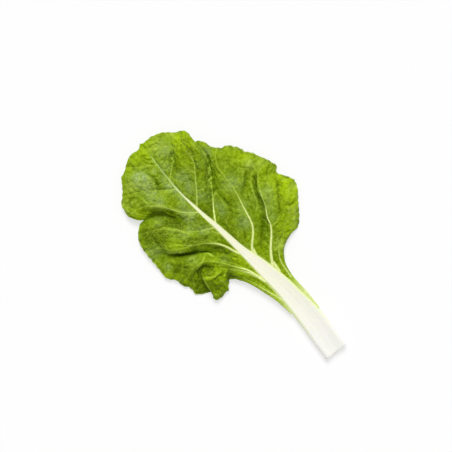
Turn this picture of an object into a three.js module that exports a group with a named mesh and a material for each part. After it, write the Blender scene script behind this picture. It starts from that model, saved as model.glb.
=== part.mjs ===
// One leaf of white-stemmed chard, cut at the foot of its stalk and lying face up.
//
// The leaf has two colours of tissue that each hold together as one body, and each is one mesh:
//   stalk  the thick white stalk and the midrib that it narrows into
//   blade  the thin green blade, with its side veins standing out as ribs
//
// Lengths are millimetres, and z is the height above the surface that the leaf lies on. The leaf is
// drawn with the middle of its cut end near x 0, y 0 and its tip towards +Y. The group then moves
// the drawing so that its origin is the middle of the leaf's footprint.

import * as THREE from "three";

const FOOTPRINT_MIDDLE = new THREE.Vector3(12.2, 163.6, 0);

const LAMINA_THICKNESS = 0.8; // of the blade between its veins
const VEIN_DEPTH = 1.3; // how far a strong side vein stands out under the blade
const VEIN_RISE = 0.4; // how far it stands out above the blade
const VEIN_HALF_WIDTH = 2.2; // from a vein's middle to where its rib ends, at the midrib
const BLADE_GAP = 0.45; // between the midrib and the blade's inner edge
const BLADE_SEAT = 0.84; // height of that edge, as a share of the midrib's thickness
const ROWS = 17; // steps from the midrib out to the margin
const SHOULDER = 0.15; // place of the column beside a vein, as a share of the way to the next guide
const TENSION = 0.4; // how freely the blade curves from one guide to the next
const STALK_STEP = 7; // length of stalk between two sections

// The stalk and the midrib: [y, middle x, half width, height of the top, thickness].
const MIDRIB = [
  [0, 0.4, 14.4, 9.0, 9.0],
  [20, 3.0, 14.8, 9.2, 9.2],
  [40, 6.0, 14.8, 9.3, 9.3],
  [60, 7.8, 14.0, 9.4, 9.4],
  [80, 8.9, 12.5, 9.5, 9.5],
  [100, 9.0, 11.3, 9.7, 9.0],
  [120, 8.2, 9.8, 9.9, 8.2],
  [140, 6.7, 7.6, 10.1, 7.0],
  [160, 4.7, 5.0, 10.3, 6.0],
  [180, 4.0, 4.0, 10.5, 5.2],
  [200, 3.0, 3.1, 10.8, 4.5],
  [220, 1.6, 2.4, 11.0, 3.9],
  [240, 0.5, 1.7, 11.1, 3.3],
  [260, 0.0, 1.3, 11.0, 2.8],
  [280, 1.2, 1.1, 10.6, 2.3],
  [300, 3.4, 0.9, 9.9, 1.9],
  [307, 4.3, 0.7, 9.6, 1.6],
];
const CHANNEL_DEPTH = 0.16; // share of the thickness that the stalk's face is hollowed by
const CHANNEL_END = 170; // y at which the hollow has run out

// The stalk's section, from its left edge over the face and back underneath:
// [share of the half width, share of the thickness, share of the channel's depth].
const SECTION = [
  [-1.0, 0.7, 0],
  [-0.96, 0.86, 0],
  [-0.84, 0.97, 0],
  [-0.7, 1.0, 0.1],
  [-0.35, 1.0, 0.75],
  [0, 1.0, 1],
  [0.35, 1.0, 0.75],
  [0.7, 1.0, 0.1],
  [0.84, 0.97, 0],
  [0.96, 0.86, 0],
  [1.0, 0.7, 0],
  [0.97, 0.48, 0],
  [0.85, 0.25, 0],
  [0.62, 0.08, 0],
  [0.3, 0, 0],
  [-0.3, 0, 0],
  [-0.62, 0.08, 0],
  [-0.85, 0.25, 0],
  [-0.97, 0.48, 0],
];

// The blade is spanned by guides, which run from the midrib out to the margin. They are listed
// anticlockwise, from the foot of the right wing round the tip to the foot of the left wing.
//   root  the y at which the guide leaves the midrib, or its point for the one at the tip
//   path  its points from there out to the margin, [x, y, z]
//   edge  the margin's points from its end on towards the next guide's end
//   vein  how strong the side vein along it is, or nothing where there is none
const RIGHT_GUIDES = [
  {
    root: 50,
    path: [[22.6, 50.5, 7.6], [23.4, 51, 7.2]],
    edge: [[24.2, 60, 7.1], [24.9, 67, 7.1]],
  },
  {
    root: 71,
    path: [[23.4, 72.4, 7.8], [25.1, 74, 7.2]],
    edge: [[25.3, 82, 7.2]],
  },
  {
    root: 84,
    path: [[22.4, 86, 8.3], [25.4, 88.6, 7.4]],
    edge: [[26, 97, 7.3]],
  },
  {
    root: 94,
    path: [[22.6, 97, 8.8], [25.2, 100.4, 9], [27.4, 104, 7.6]],
    edge: [[30, 112, 7.2]],
  },
  {
    root: 101,
    path: [[22.8, 107, 9.2], [28, 113.6, 9.4], [33.6, 118.6, 6.4]],
    edge: [[39, 125, 5.6]],
  },
  {
    root: 106,
    path: [[22.8, 113.6, 9.4], [30, 122, 9.8], [38, 127.5, 8.6], [45, 130, 5]],
    edge: [[52, 132.2, 3.6], [60, 134, 3.4], [68, 133, 1.6]],
  },
  {
    root: 109.6,
    path: [
      [22.8, 118, 9.5], [32, 128.8, 10], [43, 136, 9.8], [55, 139.5, 9], [65, 138.5, 5.4],
      [73, 135, 0.5],
    ],
    edge: [[80.6, 142.4, 2.4], [86.8, 150, 4.4]],
  },
  {
    root: 112.8,
    path: [
      [22.6, 121.4, 9.6], [32, 133, 10.4], [45, 143.5, 11], [60, 150.5, 11.5], [77, 155.5, 9.5],
      [92.4, 156.6, 5.8],
    ],
    edge: [[97.2, 161.6, 6.2], [102, 168, 5.6]],
  },
  {
    root: 115.6,
    path: [
      [22.6, 124, 9.8], [31.6, 135.2, 10.8], [43, 144.3, 11.8], [53, 151.6, 12.6], [62, 159, 13],
      [72, 167, 12.4], [84, 173, 10], [94, 175.6, 7], [104.6, 175.4, 4.8],
    ],
    edge: [[102.2, 182, 6], [99, 188, 7.4]],
  },
  {
    root: 118.2,
    path: [
      [22.6, 126.4, 9.9], [30.9, 136.7, 11.2], [41.5, 145.7, 12.4], [50.4, 153.9, 13.4], [56.5, 162.5, 13.8],
      [62, 171.5, 14], [69, 180, 13.4], [78, 188, 12], [87, 192.2, 10], [95.8, 193.5, 8],
    ],
    edge: [[97, 197.4, 7], [101.3, 199.8, 5], [100.6, 205, 5.4]],
  },
  {
    vein: 1,
    root: 120.8,
    path: [
      [22.6, 129, 10], [30, 138, 11.4], [40, 147, 12.6], [48, 156, 13.6], [52, 166, 14.2], [58, 175, 14.6],
      [62, 183, 14.6], [66, 193, 14.4], [71, 201, 13.6], [78, 208, 12.4], [88, 212, 10.4], [99, 212.5, 6.2],
    ],
    edge: [[96.5, 218, 7], [94, 224, 7.2]],
  },
  {
    root: 133,
    path: [
      [22, 141, 8.2], [32, 151, 8], [42, 162, 7.6], [50, 174, 7.2], [56, 186, 7], [61, 198, 7.4],
      [68, 208, 8], [76, 217, 9], [85, 225, 9.4], [92, 230.5, 6.8],
    ],
    edge: [
      [89, 235, 6.4], [86.2, 238.6, 6.2], [86.2, 242.2, 5.4], [83.5, 248, 5], [80, 253.5, 5.4],
      [76, 258.2, 5.8], [71.5, 259.2, 6],
    ],
  },
  {
    vein: 0.9,
    root: 148,
    path: [
      [14.6, 153, 9.6], [20, 158, 11], [30, 167, 12.6], [35, 175, 13.6], [38, 185, 14.2], [41, 195, 14.4],
      [45, 207, 14.2], [48, 220, 13.6], [50, 235, 12.6], [52.5, 248, 11], [58, 257.5, 9.6], [66.5, 264, 5.8],
    ],
    edge: [[63.4, 268, 5.4]],
  },
  {
    root: 176,
    path: [
      [14, 185, 12], [20, 195, 13.6], [27, 206, 14.2], [35, 217, 13.8], [42, 229, 12.6], [48, 243, 10.4],
      [53, 256, 9], [58, 266, 7.6], [61.7, 272.5, 5.2],
    ],
    edge: [[61.2, 277, 5.6], [59.5, 281.2, 5.6], [56.6, 285, 5]],
  },
  {
    vein: 0.7,
    root: 203,
    path: [
      [10, 210, 9.6], [18, 220, 8], [25, 228, 6.6], [33, 239, 5.2], [43, 250.5, 4.6], [49.5, 262, 4.4],
      [52.5, 275, 4.4], [54, 286.6, 4],
    ],
    edge: [[52.8, 288.4, 6.4], [53.8, 292.6, 8.6]],
  },
  {
    root: 217,
    path: [
      [11, 226, 11.6], [20, 237, 12.2], [30, 249, 12.4], [39, 259, 12.6], [45, 270, 12.8], [49, 283, 12.6],
      [54.8, 298.5, 9.4],
    ],
    edge: [[53, 304, 9]],
  },
  {
    vein: 0.6,
    root: 231,
    path: [
      [10, 238.5, 11.4], [20, 250, 12.8], [28, 260, 13.8], [36, 270, 14.4], [41, 282, 14.8], [44, 295, 14.2],
      [48.5, 308, 9],
    ],
    edge: [[45.5, 309, 9.6]],
  },
  {
    root: 254,
    path: [[12, 263, 12], [22, 274, 13], [30, 285, 13.4], [37, 297, 13], [43, 310.6, 9]],
    edge: [[40.6, 313.6, 8.6]],
  },
  {
    vein: 0.4,
    root: 275,
    path: [[10, 281, 9.6], [20, 288, 9], [28, 297, 9.4], [33.5, 307, 10], [37.8, 316.6, 8]],
    edge: [[32.5, 321, 8.4]],
  },
  {
    root: 296,
    path: [[11, 303, 11], [20, 312.5, 11.6], [27.5, 323, 8.6]],
    edge: [[22, 325.4, 9]],
  },
  {
    root: 307,
    path: [[9.5, 313.5, 10.6], [13.5, 320, 10.8], [16.5, 326, 8.8]],
    edge: [[10.5, 326.4, 8], [8.6, 327, 8]],
  },
];
const TIP_GUIDE = {
  root: [4.6, 310.8, 9.3],
  path: [[5.2, 317, 9.6], [6.3, 329, 8]],
  edge: [[3.5, 326.4, 8.4], [0.3, 324.4, 7.6], [-3.5, 325.8, 8]],
};
const LEFT_GUIDES = [
  {
    root: 307,
    path: [[0.5, 312, 9.6], [-4, 318, 10], [-8, 327, 8.8]],
    edge: [[-13, 326.4, 8.4], [-17, 325, 8]],
  },
  {
    vein: 0.4,
    root: 297,
    path: [[-3, 303, 9], [-10, 308, 8.6], [-18, 314, 9], [-24, 321.3, 7]],
    edge: [[-29, 318, 7.6]],
  },
  {
    root: 282,
    path: [[-7, 288, 12], [-16, 295.5, 14.6], [-26, 303, 14], [-35.5, 316.4, 8]],
    edge: [[-40.5, 310, 8.4], [-45.5, 304, 8.2]],
  },
  {
    vein: 0.4,
    root: 262,
    path: [
      [-6, 266.5, 11], [-12, 271.5, 11.6], [-21, 280, 11.8], [-31, 288, 11.2], [-42, 294.5, 10],
      [-51, 299, 7.6],
    ],
    edge: [[-56.5, 295, 7]],
  },
  {
    root: 244,
    path: [
      [-8, 251, 12.6], [-16, 260, 14], [-25, 270, 14.6], [-36, 280, 13.4], [-48, 286.5, 11],
      [-59, 290.5, 7],
    ],
    edge: [[-60.2, 285, 7.2]],
  },
  {
    vein: 0.7,
    root: 225,
    path: [
      [-8, 232, 11.6], [-15, 240, 13.2], [-20, 249, 14.4], [-26, 259, 15.4], [-33, 267.5, 15.8],
      [-40, 273, 15], [-50, 277.5, 12.4], [-62, 279.5, 7.8],
    ],
    edge: [[-60, 274, 8.8], [-57.4, 268.4, 9.4], [-54.2, 265.2, 8.4]],
  },
  {
    root: 213,
    path: [
      [-10, 221, 8.8], [-19, 232, 7.2], [-27, 244.6, 5.8], [-34, 254, 5.2], [-42, 260, 5.2],
      [-51.2, 263, 5.6],
    ],
    edge: [[-56.4, 263.4, 5], [-64, 259.2, 5.8]],
  },
  {
    vein: 0.7,
    root: 200,
    path: [
      [-10, 206, 9.4], [-20, 213, 9.2], [-30, 222, 10], [-38, 232.5, 10.6], [-46, 242, 10.8],
      [-57, 249.5, 10], [-69.5, 254.4, 6.2],
    ],
    edge: [[-72.5, 250, 6.6]],
  },
  {
    root: 183,
    path: [
      [-8, 193, 10.4], [-18, 204, 11.8], [-30, 213, 14.2], [-42, 221.5, 15.2], [-53, 230.5, 14],
      [-63, 239, 11], [-74.5, 245, 7],
    ],
    edge: [[-76, 239.5, 6.6]],
  },
  {
    vein: 0.9,
    root: 158,
    path: [
      [-2.8, 166, 9.8], [-4.8, 173, 10.4], [-7.8, 180, 11.2], [-13.4, 188, 12.6], [-22, 196.2, 14.4],
      [-32, 203, 15.8], [-42, 209, 16.6], [-52, 216.6, 16.2], [-59, 225, 13.6], [-66.5, 231, 10.6],
      [-77, 233, 6.6],
    ],
    edge: [[-77.4, 228, 6], [-78, 222, 5.6]],
  },
  {
    root: 149,
    path: [
      [-5.4, 161, 8.8], [-10.8, 170.6, 7.4], [-17, 178.6, 5.8], [-24, 186, 4.8], [-31.5, 192.6, 4.2],
      [-38, 198.4, 3.8], [-46, 204, 3.8], [-55, 210.4, 4.8], [-66, 216, 6.2], [-78.6, 215.4, 5],
    ],
    edge: [[-79.2, 209, 4.6], [-80, 203.4, 4.2]],
  },
  {
    root: 140,
    path: [
      [-5.6, 152, 8.6], [-11.6, 163, 8], [-18.6, 173, 7.8], [-26.6, 181.4, 8], [-38, 190.4, 8.2],
      [-52, 197, 8.2], [-66, 200, 7.2], [-80.2, 198, 4],
    ],
    edge: [[-78, 193.2, 4.2]],
  },
  {
    root: 131,
    path: [
      [-5, 142, 8.8], [-9.4, 151, 8.6], [-14.4, 160.4, 8.6], [-20, 169, 9], [-27.4, 177.4, 9.8],
      [-38, 185.6, 10.4], [-50, 189.4, 9.6], [-63, 189.6, 7.4], [-74.6, 189.2, 4.2],
    ],
    edge: [[-73, 185.6, 3.8]],
  },
  {
    vein: 0.8,
    root: 120,
    path: [
      [-3.8, 128, 9.2], [-5.4, 135, 9.4], [-8.3, 141.6, 9.6], [-12.4, 148, 9.8], [-17.6, 157, 10],
      [-22, 165, 10.4], [-27.6, 172.6, 11.2], [-34, 179, 12], [-41.6, 182.6, 12.2], [-50.6, 183, 11],
      [-62, 180.8, 7.4], [-73.6, 180.6, 3.6],
    ],
    edge: [[-72, 176, 3.2], [-69, 171.4, 3]],
  },
  {
    root: 117.6,
    path: [
      [-6, 128.4, 9.2], [-7.8, 135.4, 9.3], [-10.8, 142, 9.4], [-14.6, 148.6, 9.6], [-19, 156.6, 9.8],
      [-24, 164.4, 10], [-30, 171, 10], [-38, 176.2, 9], [-46, 179, 7.2], [-54, 177, 5.4],
      [-61, 171.6, 4], [-67.8, 167, 3],
    ],
    edge: [[-69.2, 161.4, 2.4], [-66, 157, 1.4]],
  },
  {
    root: 115.2,
    path: [
      [-7.4, 128.6, 9.2], [-9.2, 135, 9.2], [-12.2, 141.6, 9.4], [-16, 148.2, 9.6], [-20.4, 155.6, 9.8],
      [-25.4, 163, 9.8], [-31.6, 169, 9.4], [-39, 173.6, 7.8], [-45.6, 175.4, 5.6], [-51, 172, 4],
      [-56, 163.6, 2.4], [-60.5, 153.2, 0.6],
    ],
    edge: [[-56, 150.6, 1], [-52.4, 148.6, 2.4]],
  },
  {
    root: 112.8,
    path: [
      [-8.8, 128.6, 9.2], [-10.6, 134.6, 9.2], [-13.6, 141.2, 9.4], [-17.4, 147.8, 9.6],
      [-21.6, 154.6, 9.8], [-26.6, 161.4, 9.8], [-32.4, 167.2, 9.4], [-38.8, 171, 8],
      [-44.4, 170.2, 6.4], [-47.4, 165.4, 5.2], [-48.8, 158, 4.6], [-49.6, 148, 4],
    ],
    edge: [[-53, 146.2, 6]],
  },
  {
    root: 110.4,
    path: [
      [-10.2, 128.6, 9.2], [-12, 134.2, 9.2], [-15, 140.8, 9.4], [-18.6, 147.2, 9.6],
      [-22.8, 153.8, 9.9], [-27.6, 160, 10.2], [-33.4, 165.8, 10.8], [-40, 169.6, 12], [-46.4, 169.6, 13],
      [-50.4, 164.6, 13.4], [-52.4, 157, 12.6], [-54.6, 149.6, 10.4], [-57.6, 142.6, 7],
    ],
    edge: [[-56.2, 139, 5.6], [-51.5, 137, 4.4]],
  },
  {
    root: 108,
    path: [
      [-11.6, 128.6, 9.2], [-13.4, 134, 9.2], [-16.4, 140.4, 9.4], [-19.8, 146.4, 9.6],
      [-23.8, 152.4, 9.9], [-28.8, 157.6, 10.6], [-34.6, 160.8, 12.2], [-40, 158.6, 12.4],
      [-43, 150.4, 9.6], [-45.6, 137.2, 3.6],
    ],
    edge: [[-41, 138, 4], [-38.4, 136.4, 4.2]],
  },
  {
    root: 105.4,
    path: [
      [-13, 128.4, 9.2], [-14.8, 133.8, 9.2], [-17.6, 139.8, 9.4], [-20.6, 145.2, 9.6],
      [-24.2, 150.4, 9.8], [-28.6, 154, 10.2], [-33, 152.4, 9.8], [-35.4, 147, 8], [-36.6, 140, 5],
    ],
    edge: [[-33.6, 142, 5.2]],
  },
  {
    root: 102,
    path: [
      [-14, 127, 9], [-16, 133, 8.8], [-18.4, 138.6, 8.2], [-21, 143.6, 7.2], [-24, 147.8, 6],
      [-26.6, 149, 5.4], [-30, 145.2, 5],
    ],
    edge: [[-27, 143.4, 5.2]],
  },
  {
    root: 97,
    path: [[-6.6, 106, 9], [-11.4, 116, 8.8], [-15.4, 127, 8.4], [-19.2, 136, 7.2], [-23.6, 141, 5.8]],
    edge: [[-20.2, 134.6, 6.4]],
  },
  {
    root: 91,
    path: [[-6.4, 99, 9], [-11, 110, 8.6], [-16.2, 125.2, 6.8]],
    edge: [[-13.8, 116, 7]],
  },
  {
    root: 84,
    path: [[-6, 91, 8.8], [-9.6, 99, 8.2], [-12.2, 107.2, 7.2]],
    edge: [[-10.2, 98.6, 7.2]],
  },
  {
    root: 76,
    path: [[-5.8, 82, 8.2], [-8.8, 89.6, 7.4]],
    edge: [[-8, 79, 7.2]],
  },
  {
    root: 66,
    path: [[-6.5, 67, 7.6], [-7.4, 67.8, 7.2]],
    edge: [],
  },
];

// The two veins that run along the wings, across the guides there: [x, y].
const WING_VEINS = [
  [[22.6, 86], [24.2, 97], [26, 107], [30, 117.5], [37, 127], [48, 135.5], [58, 141.5], [67, 148]],
  [[-3.8, 86], [-5.6, 98], [-8, 110], [-10.6, 121], [-13.4, 132], [-17, 142], [-20.4, 149]],
];
const WING_VEIN_STRENGTH = 0.5;

// The table's columns at a value of its first column, by smooth interpolation between its rows.
function tableAt(table, at) {
  const last = table.length - 2;
  let k = table.findIndex((row) => row[0] > at) - 1;
  k = k < 0 ? (at < table[0][0] ? 0 : last) : Math.min(k, last);
  const [a, b] = [table[k], table[k + 1]];
  const [before, after] = [table[Math.max(k - 1, 0)], table[Math.min(k + 2, last + 1)]];
  const span = b[0] - a[0];
  const f = (at - a[0]) / span;
  return a.map((value, i) => {
    const slopeA = (b[i] - before[i]) / (b[0] - before[0]);
    const slopeB = (after[i] - a[i]) / (after[0] - a[0]);
    const f2 = f * f;
    const f3 = f2 * f;
    return (
      (2 * f3 - 3 * f2 + 1) * value +
      (f3 - 2 * f2 + f) * span * slopeA +
      (3 * f2 - 2 * f3) * b[i] +
      (f3 - f2) * span * slopeB
    );
  });
}

// The midrib at a station: its middle, its sideways direction, and its sizes there.
function midribAt(y) {
  const [, x, halfWidth, top, thickness] = tableAt(MIDRIB, y);
  const lean = tableAt(MIDRIB, y + 1)[1] - tableAt(MIDRIB, y - 1)[1];
  const sideways = new THREE.Vector3(2, -lean, 0).normalize();
  return { middle: new THREE.Vector3(x, y, 0), sideways, halfWidth, top, thickness };
}

// The point at which the blade's inner edge runs past the midrib, on one side of it.
function seatAt(y, side) {
  const { middle, sideways, halfWidth, top, thickness } = midribAt(y);
  const point = middle.addScaledVector(sideways, side * (halfWidth + BLADE_GAP));
  return point.setZ(top - (1 - BLADE_SEAT) * thickness);
}

// A closed geometry from points and triangles.
function solidGeometry(points, triangles) {
  const geometry = new THREE.BufferGeometry().setFromPoints(points);
  geometry.setIndex(triangles.flat());
  geometry.computeVertexNormals();
  return geometry;
}

function stalkGeometry() {
  const [start, end] = [MIDRIB[0][0], MIDRIB[MIDRIB.length - 1][0]];
  const steps = Math.round((end - start) / STALK_STEP);
  const sides = SECTION.length;
  const points = [];
  const triangles = [];
  for (let i = 0; i <= steps; i++) {
    const y = start + ((end - start) * i) / steps;
    const { middle, sideways, halfWidth, top, thickness } = midribAt(y);
    const channel = CHANNEL_DEPTH * thickness * Math.max(0, 1 - y / CHANNEL_END);
    for (const [across, up, hollow] of SECTION) {
      const point = middle.clone().addScaledVector(sideways, across * halfWidth);
      points.push(point.setZ(Math.max(0, top - (1 - up) * thickness - hollow * channel)));
    }
  }
  for (let i = 0; i < steps; i++)
    for (let k = 0; k < sides; k++) {
      const next = (k + 1) % sides;
      const [a, b] = [i * sides + k, i * sides + next];
      triangles.push([a, b, b + sides], [a, b + sides, a + sides]);
    }
  for (let k = 1; k < sides - 1; k++) {
    const far = steps * sides;
    triangles.push([0, k + 1, k], [far, far + k, far + k + 1]);
  }
  return solidGeometry(points, triangles);
}

const vector = ([x, y, z]) => new THREE.Vector3(x, y, z);

// A guide with its root worked out and its line sampled at each row.
function guideLine(guide, side) {
  const root = side ? seatAt(guide.root, side) : vector(guide.root);
  const line = new THREE.CatmullRomCurve3([root, ...guide.path.map(vector)], false, "centripetal");
  return { ...guide, side, rows: line.getSpacedPoints(ROWS) };
}

// Between four neighbouring points, the one at a share of the way from b to c.
function between(a, b, c, d, share) {
  const s2 = share * share;
  const s3 = s2 * share;
  const toC = c.clone().sub(a).multiplyScalar(TENSION);
  const toD = d.clone().sub(b).multiplyScalar(TENSION);
  return b
    .clone()
    .multiplyScalar(2 * s3 - 3 * s2 + 1)
    .addScaledVector(c, 3 * s2 - 2 * s3)
    .addScaledVector(toC, s3 - 2 * s2 + share)
    .addScaledVector(toD, s3 - s2);
}

// The margin from one guide's end to the next: its corners, and the shares of the way they are at.
function marginOf(guide, next) {
  const corners = [guide.rows[ROWS], ...guide.edge.map(vector), next.rows[ROWS]];
  const walked = [0];
  for (let i = 1; i < corners.length; i++)
    walked.push(walked[i - 1] + corners[i].distanceTo(corners[i - 1]));
  return { corners, shares: walked.map((length) => length / walked[walked.length - 1]) };
}

function marginAt({ corners, shares }, share) {
  const i = Math.max(1, shares.findIndex((other) => other >= share));
  const part = (share - shares[i - 1]) / (shares[i] - shares[i - 1]);
  return corners[i - 1].clone().lerp(corners[i], part);
}

// The blade's middle surface: one column of points for each corner of its margin, and one on each
// side of a vein.
function bladeColumns(guides) {
  const columns = [guides[0].rows];
  for (let i = 0; i + 1 < guides.length; i++) {
    const [guide, next] = [guides[i], guides[i + 1]];
    const [before, after] = [guides[Math.max(i - 1, 0)], guides[Math.min(i + 2, guides.length - 1)]];
    const margin = marginOf(guide, next);
    const shares = new Set(margin.shares.slice(1));
    if (guide.vein) shares.add(SHOULDER);
    if (next.vein) shares.add(1 - SHOULDER);
    for (const share of [...shares].sort((a, b) => a - b)) {
      const column = guide.rows.map((point, row) =>
        between(before.rows[row], point, next.rows[row], after.rows[row], share),
      );
      const root =
        guide.side && guide.side === next.side
          ? seatAt(guide.root + (next.root - guide.root) * share, guide.side)
          : guide.rows[0].clone().lerp(next.rows[0], share);
      const rootShift = root.sub(column[0]);
      const endShift = marginAt(margin, share).sub(column[ROWS]);
      column.forEach((point, row) => {
        point.addScaledVector(rootShift, (1 - row / ROWS) ** 3).addScaledVector(endShift, (row / ROWS) ** 3);
      });
      columns.push(column);
    }
  }
  return columns;
}

// How strongly a side vein stands out at a point, from 0 to 1.
function veinAt(point, veins) {
  let most = 0;
  for (const { line, strength } of veins)
    for (let i = 0; i + 1 < line.length; i++) {
      const share = (i + 0.5) / line.length;
      const [a, b] = [line[i], line[i + 1]];
      const length2 = (b.x - a.x) ** 2 + (b.y - a.y) ** 2;
      const along = ((point.x - a.x) * (b.x - a.x) + (point.y - a.y) * (b.y - a.y)) / length2;
      const clamped = Math.min(1, Math.max(0, along));
      const away = Math.hypot(
        point.x - a.x - (b.x - a.x) * clamped,
        point.y - a.y - (b.y - a.y) * clamped,
      );
      const halfWidth = VEIN_HALF_WIDTH * (1 - 0.5 * share);
      most = Math.max(most, strength * (1 - share) * Math.max(0, 1 - away / halfWidth));
    }
  return most;
}

// The direction in which a grid of points faces at one of them.
function facing(columns, c, r) {
  const [left, right] = [columns[Math.max(c - 1, 0)], columns[Math.min(c + 1, columns.length - 1)]];
  const across = right[r].clone().sub(left[r]);
  const out = columns[c][Math.min(r + 1, ROWS)].clone().sub(columns[c][Math.max(r - 1, 0)]);
  return out.cross(across).normalize();
}

function bladeGeometry(guides) {
  const columns = bladeColumns(guides);
  const veins = guides
    .filter((guide) => guide.vein)
    .map((guide) => ({ line: guide.rows, strength: guide.vein }));
  for (const line of WING_VEINS)
    veins.push({ line: line.map(([x, y]) => ({ x, y })), strength: WING_VEIN_STRENGTH });

  const top = [];
  const bottom = [];
  columns.forEach((column, c) =>
    column.forEach((point, r) => {
      const normal = facing(columns, c, r);
      const vein = veinAt(point, veins);
      const half = LAMINA_THICKNESS / 2;
      top.push(point.clone().addScaledVector(normal, half + vein * VEIN_RISE));
      bottom.push(point.clone().addScaledVector(normal, -half - vein * VEIN_DEPTH));
    }),
  );

  const height = ROWS + 1;
  const under = top.length;
  const triangles = [];
  const face = (a, b, c) => triangles.push([a, b, c], [under + a, under + c, under + b]);
  const wall = (a, b) => triangles.push([b, a, under + a], [b, under + a, under + b]);
  for (let c = 0; c + 1 < columns.length; c++) {
    for (let r = 0; r < ROWS; r++) {
      const a = c * height + r;
      const [b, d, e] = [a + 1, a + height + 1, a + height];
      if (top[a].distanceTo(top[d]) < top[b].distanceTo(top[e])) {
        face(a, b, d);
        face(a, d, e);
      } else {
        face(a, b, e);
        face(b, d, e);
      }
    }
    wall((c + 1) * height, c * height);
    wall(c * height + ROWS, (c + 1) * height + ROWS);
  }
  const last = (columns.length - 1) * height;
  for (let r = 0; r < ROWS; r++) {
    wall(r, r + 1);
    wall(last + r + 1, last + r);
  }
  return solidGeometry([...top, ...bottom], triangles);
}

const guides = [
  ...RIGHT_GUIDES.map((guide) => guideLine(guide, 1)),
  guideLine(TIP_GUIDE, 0),
  ...LEFT_GUIDES.map((guide) => guideLine(guide, -1)),
];

const stalk = new THREE.Mesh(
  stalkGeometry(),
  new THREE.MeshStandardMaterial({ color: 0xf1f0dc, roughness: 0.45, metalness: 0 }),
);
stalk.name = "stalk";

const blade = new THREE.Mesh(
  bladeGeometry(guides),
  new THREE.MeshStandardMaterial({ color: 0x6f9a1e, roughness: 0.5, metalness: 0 }),
);
blade.name = "blade";

const leaf = new THREE.Group();
leaf.add(stalk, blade);
leaf.position.copy(FOOTPRINT_MIDDLE).negate();

export default leaf;
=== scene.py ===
import math

import bpy
import numpy as np
from mathutils import Matrix, Vector


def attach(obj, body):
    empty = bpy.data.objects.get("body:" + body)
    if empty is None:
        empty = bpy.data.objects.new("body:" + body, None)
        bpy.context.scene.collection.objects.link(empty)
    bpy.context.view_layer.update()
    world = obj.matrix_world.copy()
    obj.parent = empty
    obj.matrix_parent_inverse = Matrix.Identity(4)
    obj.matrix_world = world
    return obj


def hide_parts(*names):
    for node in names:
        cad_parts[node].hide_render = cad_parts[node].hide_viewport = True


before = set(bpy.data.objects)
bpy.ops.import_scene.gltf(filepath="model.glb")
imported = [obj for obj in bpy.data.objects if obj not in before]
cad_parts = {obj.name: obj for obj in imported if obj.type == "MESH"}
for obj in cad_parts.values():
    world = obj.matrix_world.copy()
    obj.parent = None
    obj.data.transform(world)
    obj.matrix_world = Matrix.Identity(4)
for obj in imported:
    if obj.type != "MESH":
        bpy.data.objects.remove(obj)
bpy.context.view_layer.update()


# The stalk and the midrib.
# One body of crisp, watery white flesh, grown as a thick channelled stalk that narrows into the
# midrib. Long fibres run through it, and its foot was cut across with a knife.
MM = 0.001
FOOTPRINT_MIDDLE = (12.2, 163.6)  # mm, where the drawing has the frame's origin

# Its stations: (y, middle x, half width, height of the top, thickness), in mm.
MIDRIB = [
    (0, 0.4, 14.4, 9, 9), (20, 3, 14.8, 9.2, 9.2), (40, 6, 14.8, 9.3, 9.3), (60, 7.8, 14, 9.4, 9.4),
    (80, 8.9, 12.5, 9.5, 9.5), (100, 9, 11.3, 9.7, 9), (120, 8.2, 9.8, 9.9, 8.2),
    (140, 6.7, 7.6, 10.1, 7), (160, 4.7, 5, 10.3, 6), (180, 4, 4, 10.5, 5.2),
    (200, 3, 3.1, 10.8, 4.5), (220, 1.6, 2.4, 11, 3.9), (240, 0.5, 1.7, 11.1, 3.3),
    (260, 0.4, 1.3, 11, 2.8), (280, 2, 1.1, 10.6, 2.3), (300, 4.4, 0.9, 9.9, 1.9),
    (307, 5.3, 0.7, 9.6, 1.6),
]
# Its section from the left edge over the face and back underneath:
# (share of the half width, share of the thickness, share of the channel's depth).
SECTION = [
    (-1, 0.7, 0), (-0.96, 0.86, 0), (-0.84, 0.97, 0), (-0.7, 1, 0.1), (-0.35, 1, 0.75), (0, 1, 1),
    (0.35, 1, 0.75), (0.7, 1, 0.1), (0.84, 0.97, 0), (0.96, 0.86, 0), (1, 0.7, 0), (0.97, 0.48, 0),
    (0.85, 0.25, 0), (0.62, 0.08, 0), (0.3, 0, 0), (-0.3, 0, 0), (-0.62, 0.08, 0), (-0.85, 0.25, 0),
    (-0.97, 0.48, 0),
]
CHANNEL_DEPTH = 0.16  # share of the thickness that its face is hollowed by
CHANNEL_END = 170  # mm, the y at which the hollow has run out
STALK_SIDES = 114  # points round a section
STALK_STATIONS = 260
CAP_RINGS = 9  # rings that close each end
FOOT_DOME, TIP_DOME = 0.5, 0.8  # mm, how far each end bulges
FACE_FROM = 0.6  # share of the thickness above which the skin is the face's
FACE_FIBRE = 0.09  # mm, how far the fibres stand out of the face
FACE_FIBRE_SIZE = 2.6  # mm across one
FACE_FIBRE_STRETCH = 40  # how many times as long as wide it is
BACK_RIDGE = 0.28  # mm, how far the ridges stand out of the back
BACK_RIDGES = 15  # of them round the back
FULL_HALF_WIDTH, FULL_THICKNESS = 14, 9  # mm, of the stalk where it is stoutest
WAVER, WAVER_SIZE = 0.25, 46  # mm, how far the stalk wavers sideways, and how long a waver is
WELD = 0.02  # mm between points that are one


def curve_between(a, b, slope_a, slope_b, f):
    """The smooth curve that leaves a and reaches b with these slopes, at share f of the way."""
    return (
        (2 * f**3 - 3 * f**2 + 1) * a
        + (f**3 - 2 * f**2 + f) * slope_a
        + (3 * f**2 - 2 * f**3) * b
        + (f**3 - f**2) * slope_b
    )


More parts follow.
